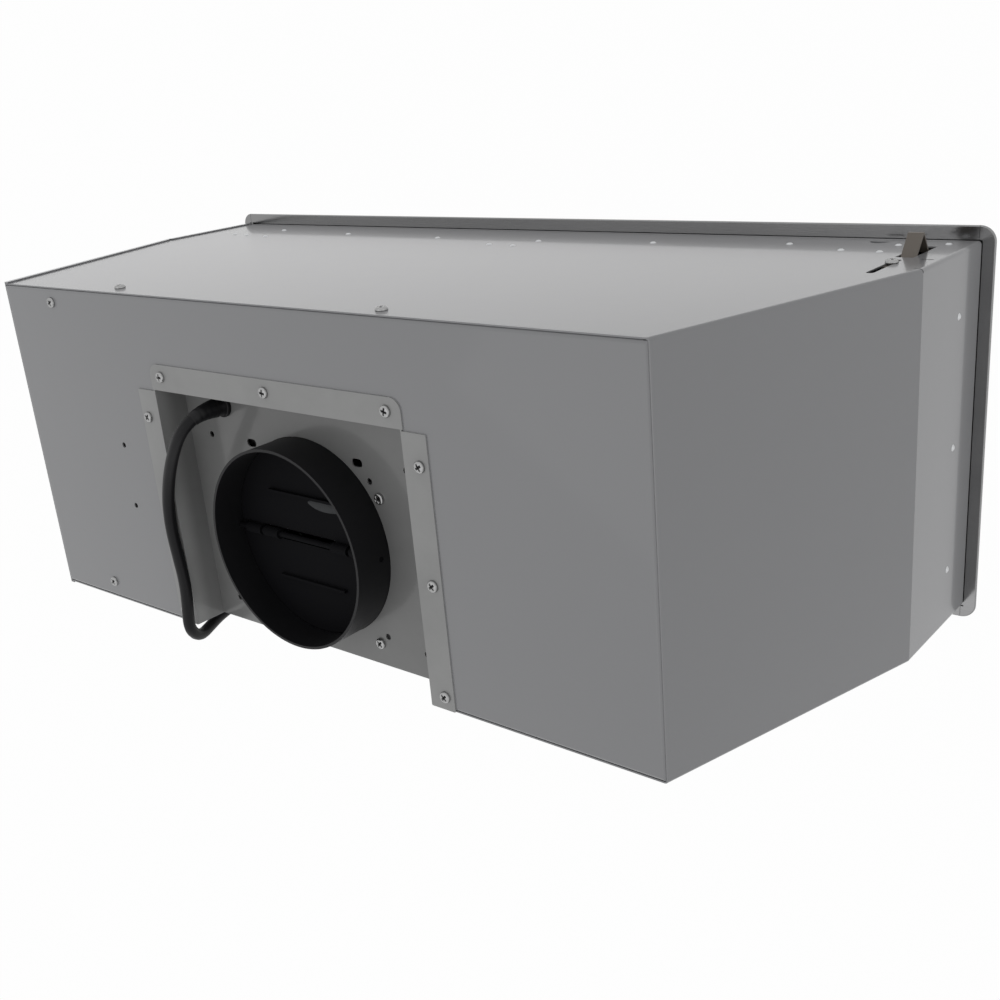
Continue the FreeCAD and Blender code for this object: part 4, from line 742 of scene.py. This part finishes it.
class HOOD_OT_stage(bpy.types.Operator):
    """Pale floor, plain soft lamps and the camera."""
    bl_idname = "hood.stage"
    bl_label = "Studio"

    def execute(self, context):
        scene = context.scene
        studio = scene.hood_studio
        mesh = bpy.data.meshes.new("pale_floor")
        corners = [(FLOOR_HALF * x, FLOOR_HALF * y, FLOOR_HEIGHT) for x, y in ((-1, -1), (1, -1), (1, 1), (-1, 1))]
        mesh.from_pydata(corners, [], [(0, 1, 2, 3)])
        mesh.materials.append(pale_stage_material())
        floor = bpy.data.objects.new("pale_floor", mesh)
        scene.collection.objects.link(floor)
        for name, place, size, setting in LAMPS:
            soft_lamp(name, place, LAMP_TARGET, size, getattr(studio, setting))
        world = bpy.data.worlds.new("even_sky")
        world.use_nodes = True
        background = world.node_tree.nodes["Background"]
        background.inputs["Color"].default_value = (1, 1, 1, 1)
        seen = background_rays(world.node_tree)
        extra = math_node(world.node_tree, "MULTIPLY", seen, 1.0 - studio.sky)
        level = math_node(world.node_tree, "ADD", extra, studio.sky)
        world.node_tree.links.new(level, background.inputs["Strength"])
        scene.world = world
        camera_data = bpy.data.cameras.new("camera")
        camera_data.sensor_width = SENSOR_WIDTH
        camera_data.lens = SENSOR_WIDTH * FOCAL_SHARE
        camera_data.shift_x = -CENTRE_RIGHT
        camera_data.shift_y = CENTRE_DOWN
        camera_data.clip_start = 0.05
        camera = bpy.data.objects.new("camera", camera_data)
        axes = Matrix((CAMERA_RIGHT, CAMERA_UP, CAMERA_BACK)).transposed().to_4x4()
        camera.matrix_world = Matrix.Translation(CAMERA_PLACE) @ axes
        scene.collection.objects.link(camera)
        scene.camera = camera
        scene.view_settings.view_transform = "Standard"
        return {"FINISHED"}


class HOOD_PT_panel(bpy.types.Panel):
    """Lists the hood's operators in the sidebar."""
    bl_idname = "HOOD_PT_panel"
    bl_label = "Range hood insert"
    bl_space_type = "VIEW_3D"
    bl_region_type = "UI"
    bl_category = "Hood"

    def draw(self, context):
        for operator in OPERATORS:
            self.layout.operator(operator.bl_idname)


OPERATORS = (HOOD_OT_stage, HOOD_OT_finishes, HOOD_OT_cord, HOOD_OT_relief, HOOD_OT_glint_pad, HOOD_OT_screws)
SETTINGS = (("hood_finish", HoodFinish), ("hood_cord", HoodCord), ("hood_studio", HoodStudio))


def register():
    for name, group in SETTINGS:
        bpy.utils.register_class(group)
        setattr(bpy.types.Scene, name, bpy.props.PointerProperty(type=group))
    for operator in OPERATORS:
        bpy.utils.register_class(operator)
    bpy.utils.register_class(HOOD_PT_panel)


def unregister():
    bpy.utils.unregister_class(HOOD_PT_panel)
    for operator in reversed(OPERATORS):
        bpy.utils.unregister_class(operator)
    for name, group in SETTINGS:
        delattr(bpy.types.Scene, name)
        bpy.utils.unregister_class(group)


def clear_default_scene():
    """Remove the start-up cube, lamp and camera if they are there."""
    for name in ("Cube", "Light", "Camera"):
        if name in bpy.data.objects:
            bpy.data.objects.remove(bpy.data.objects[name])


def main():
    clear_default_scene()
    register()
    bpy.ops.hood.stage()
    bpy.ops.hood.finishes()
    bpy.ops.hood.cord()
    bpy.ops.hood.relief()
    bpy.ops.hood.pad()
    bpy.ops.hood.screws()


if __name__ == "__main__":
    main()
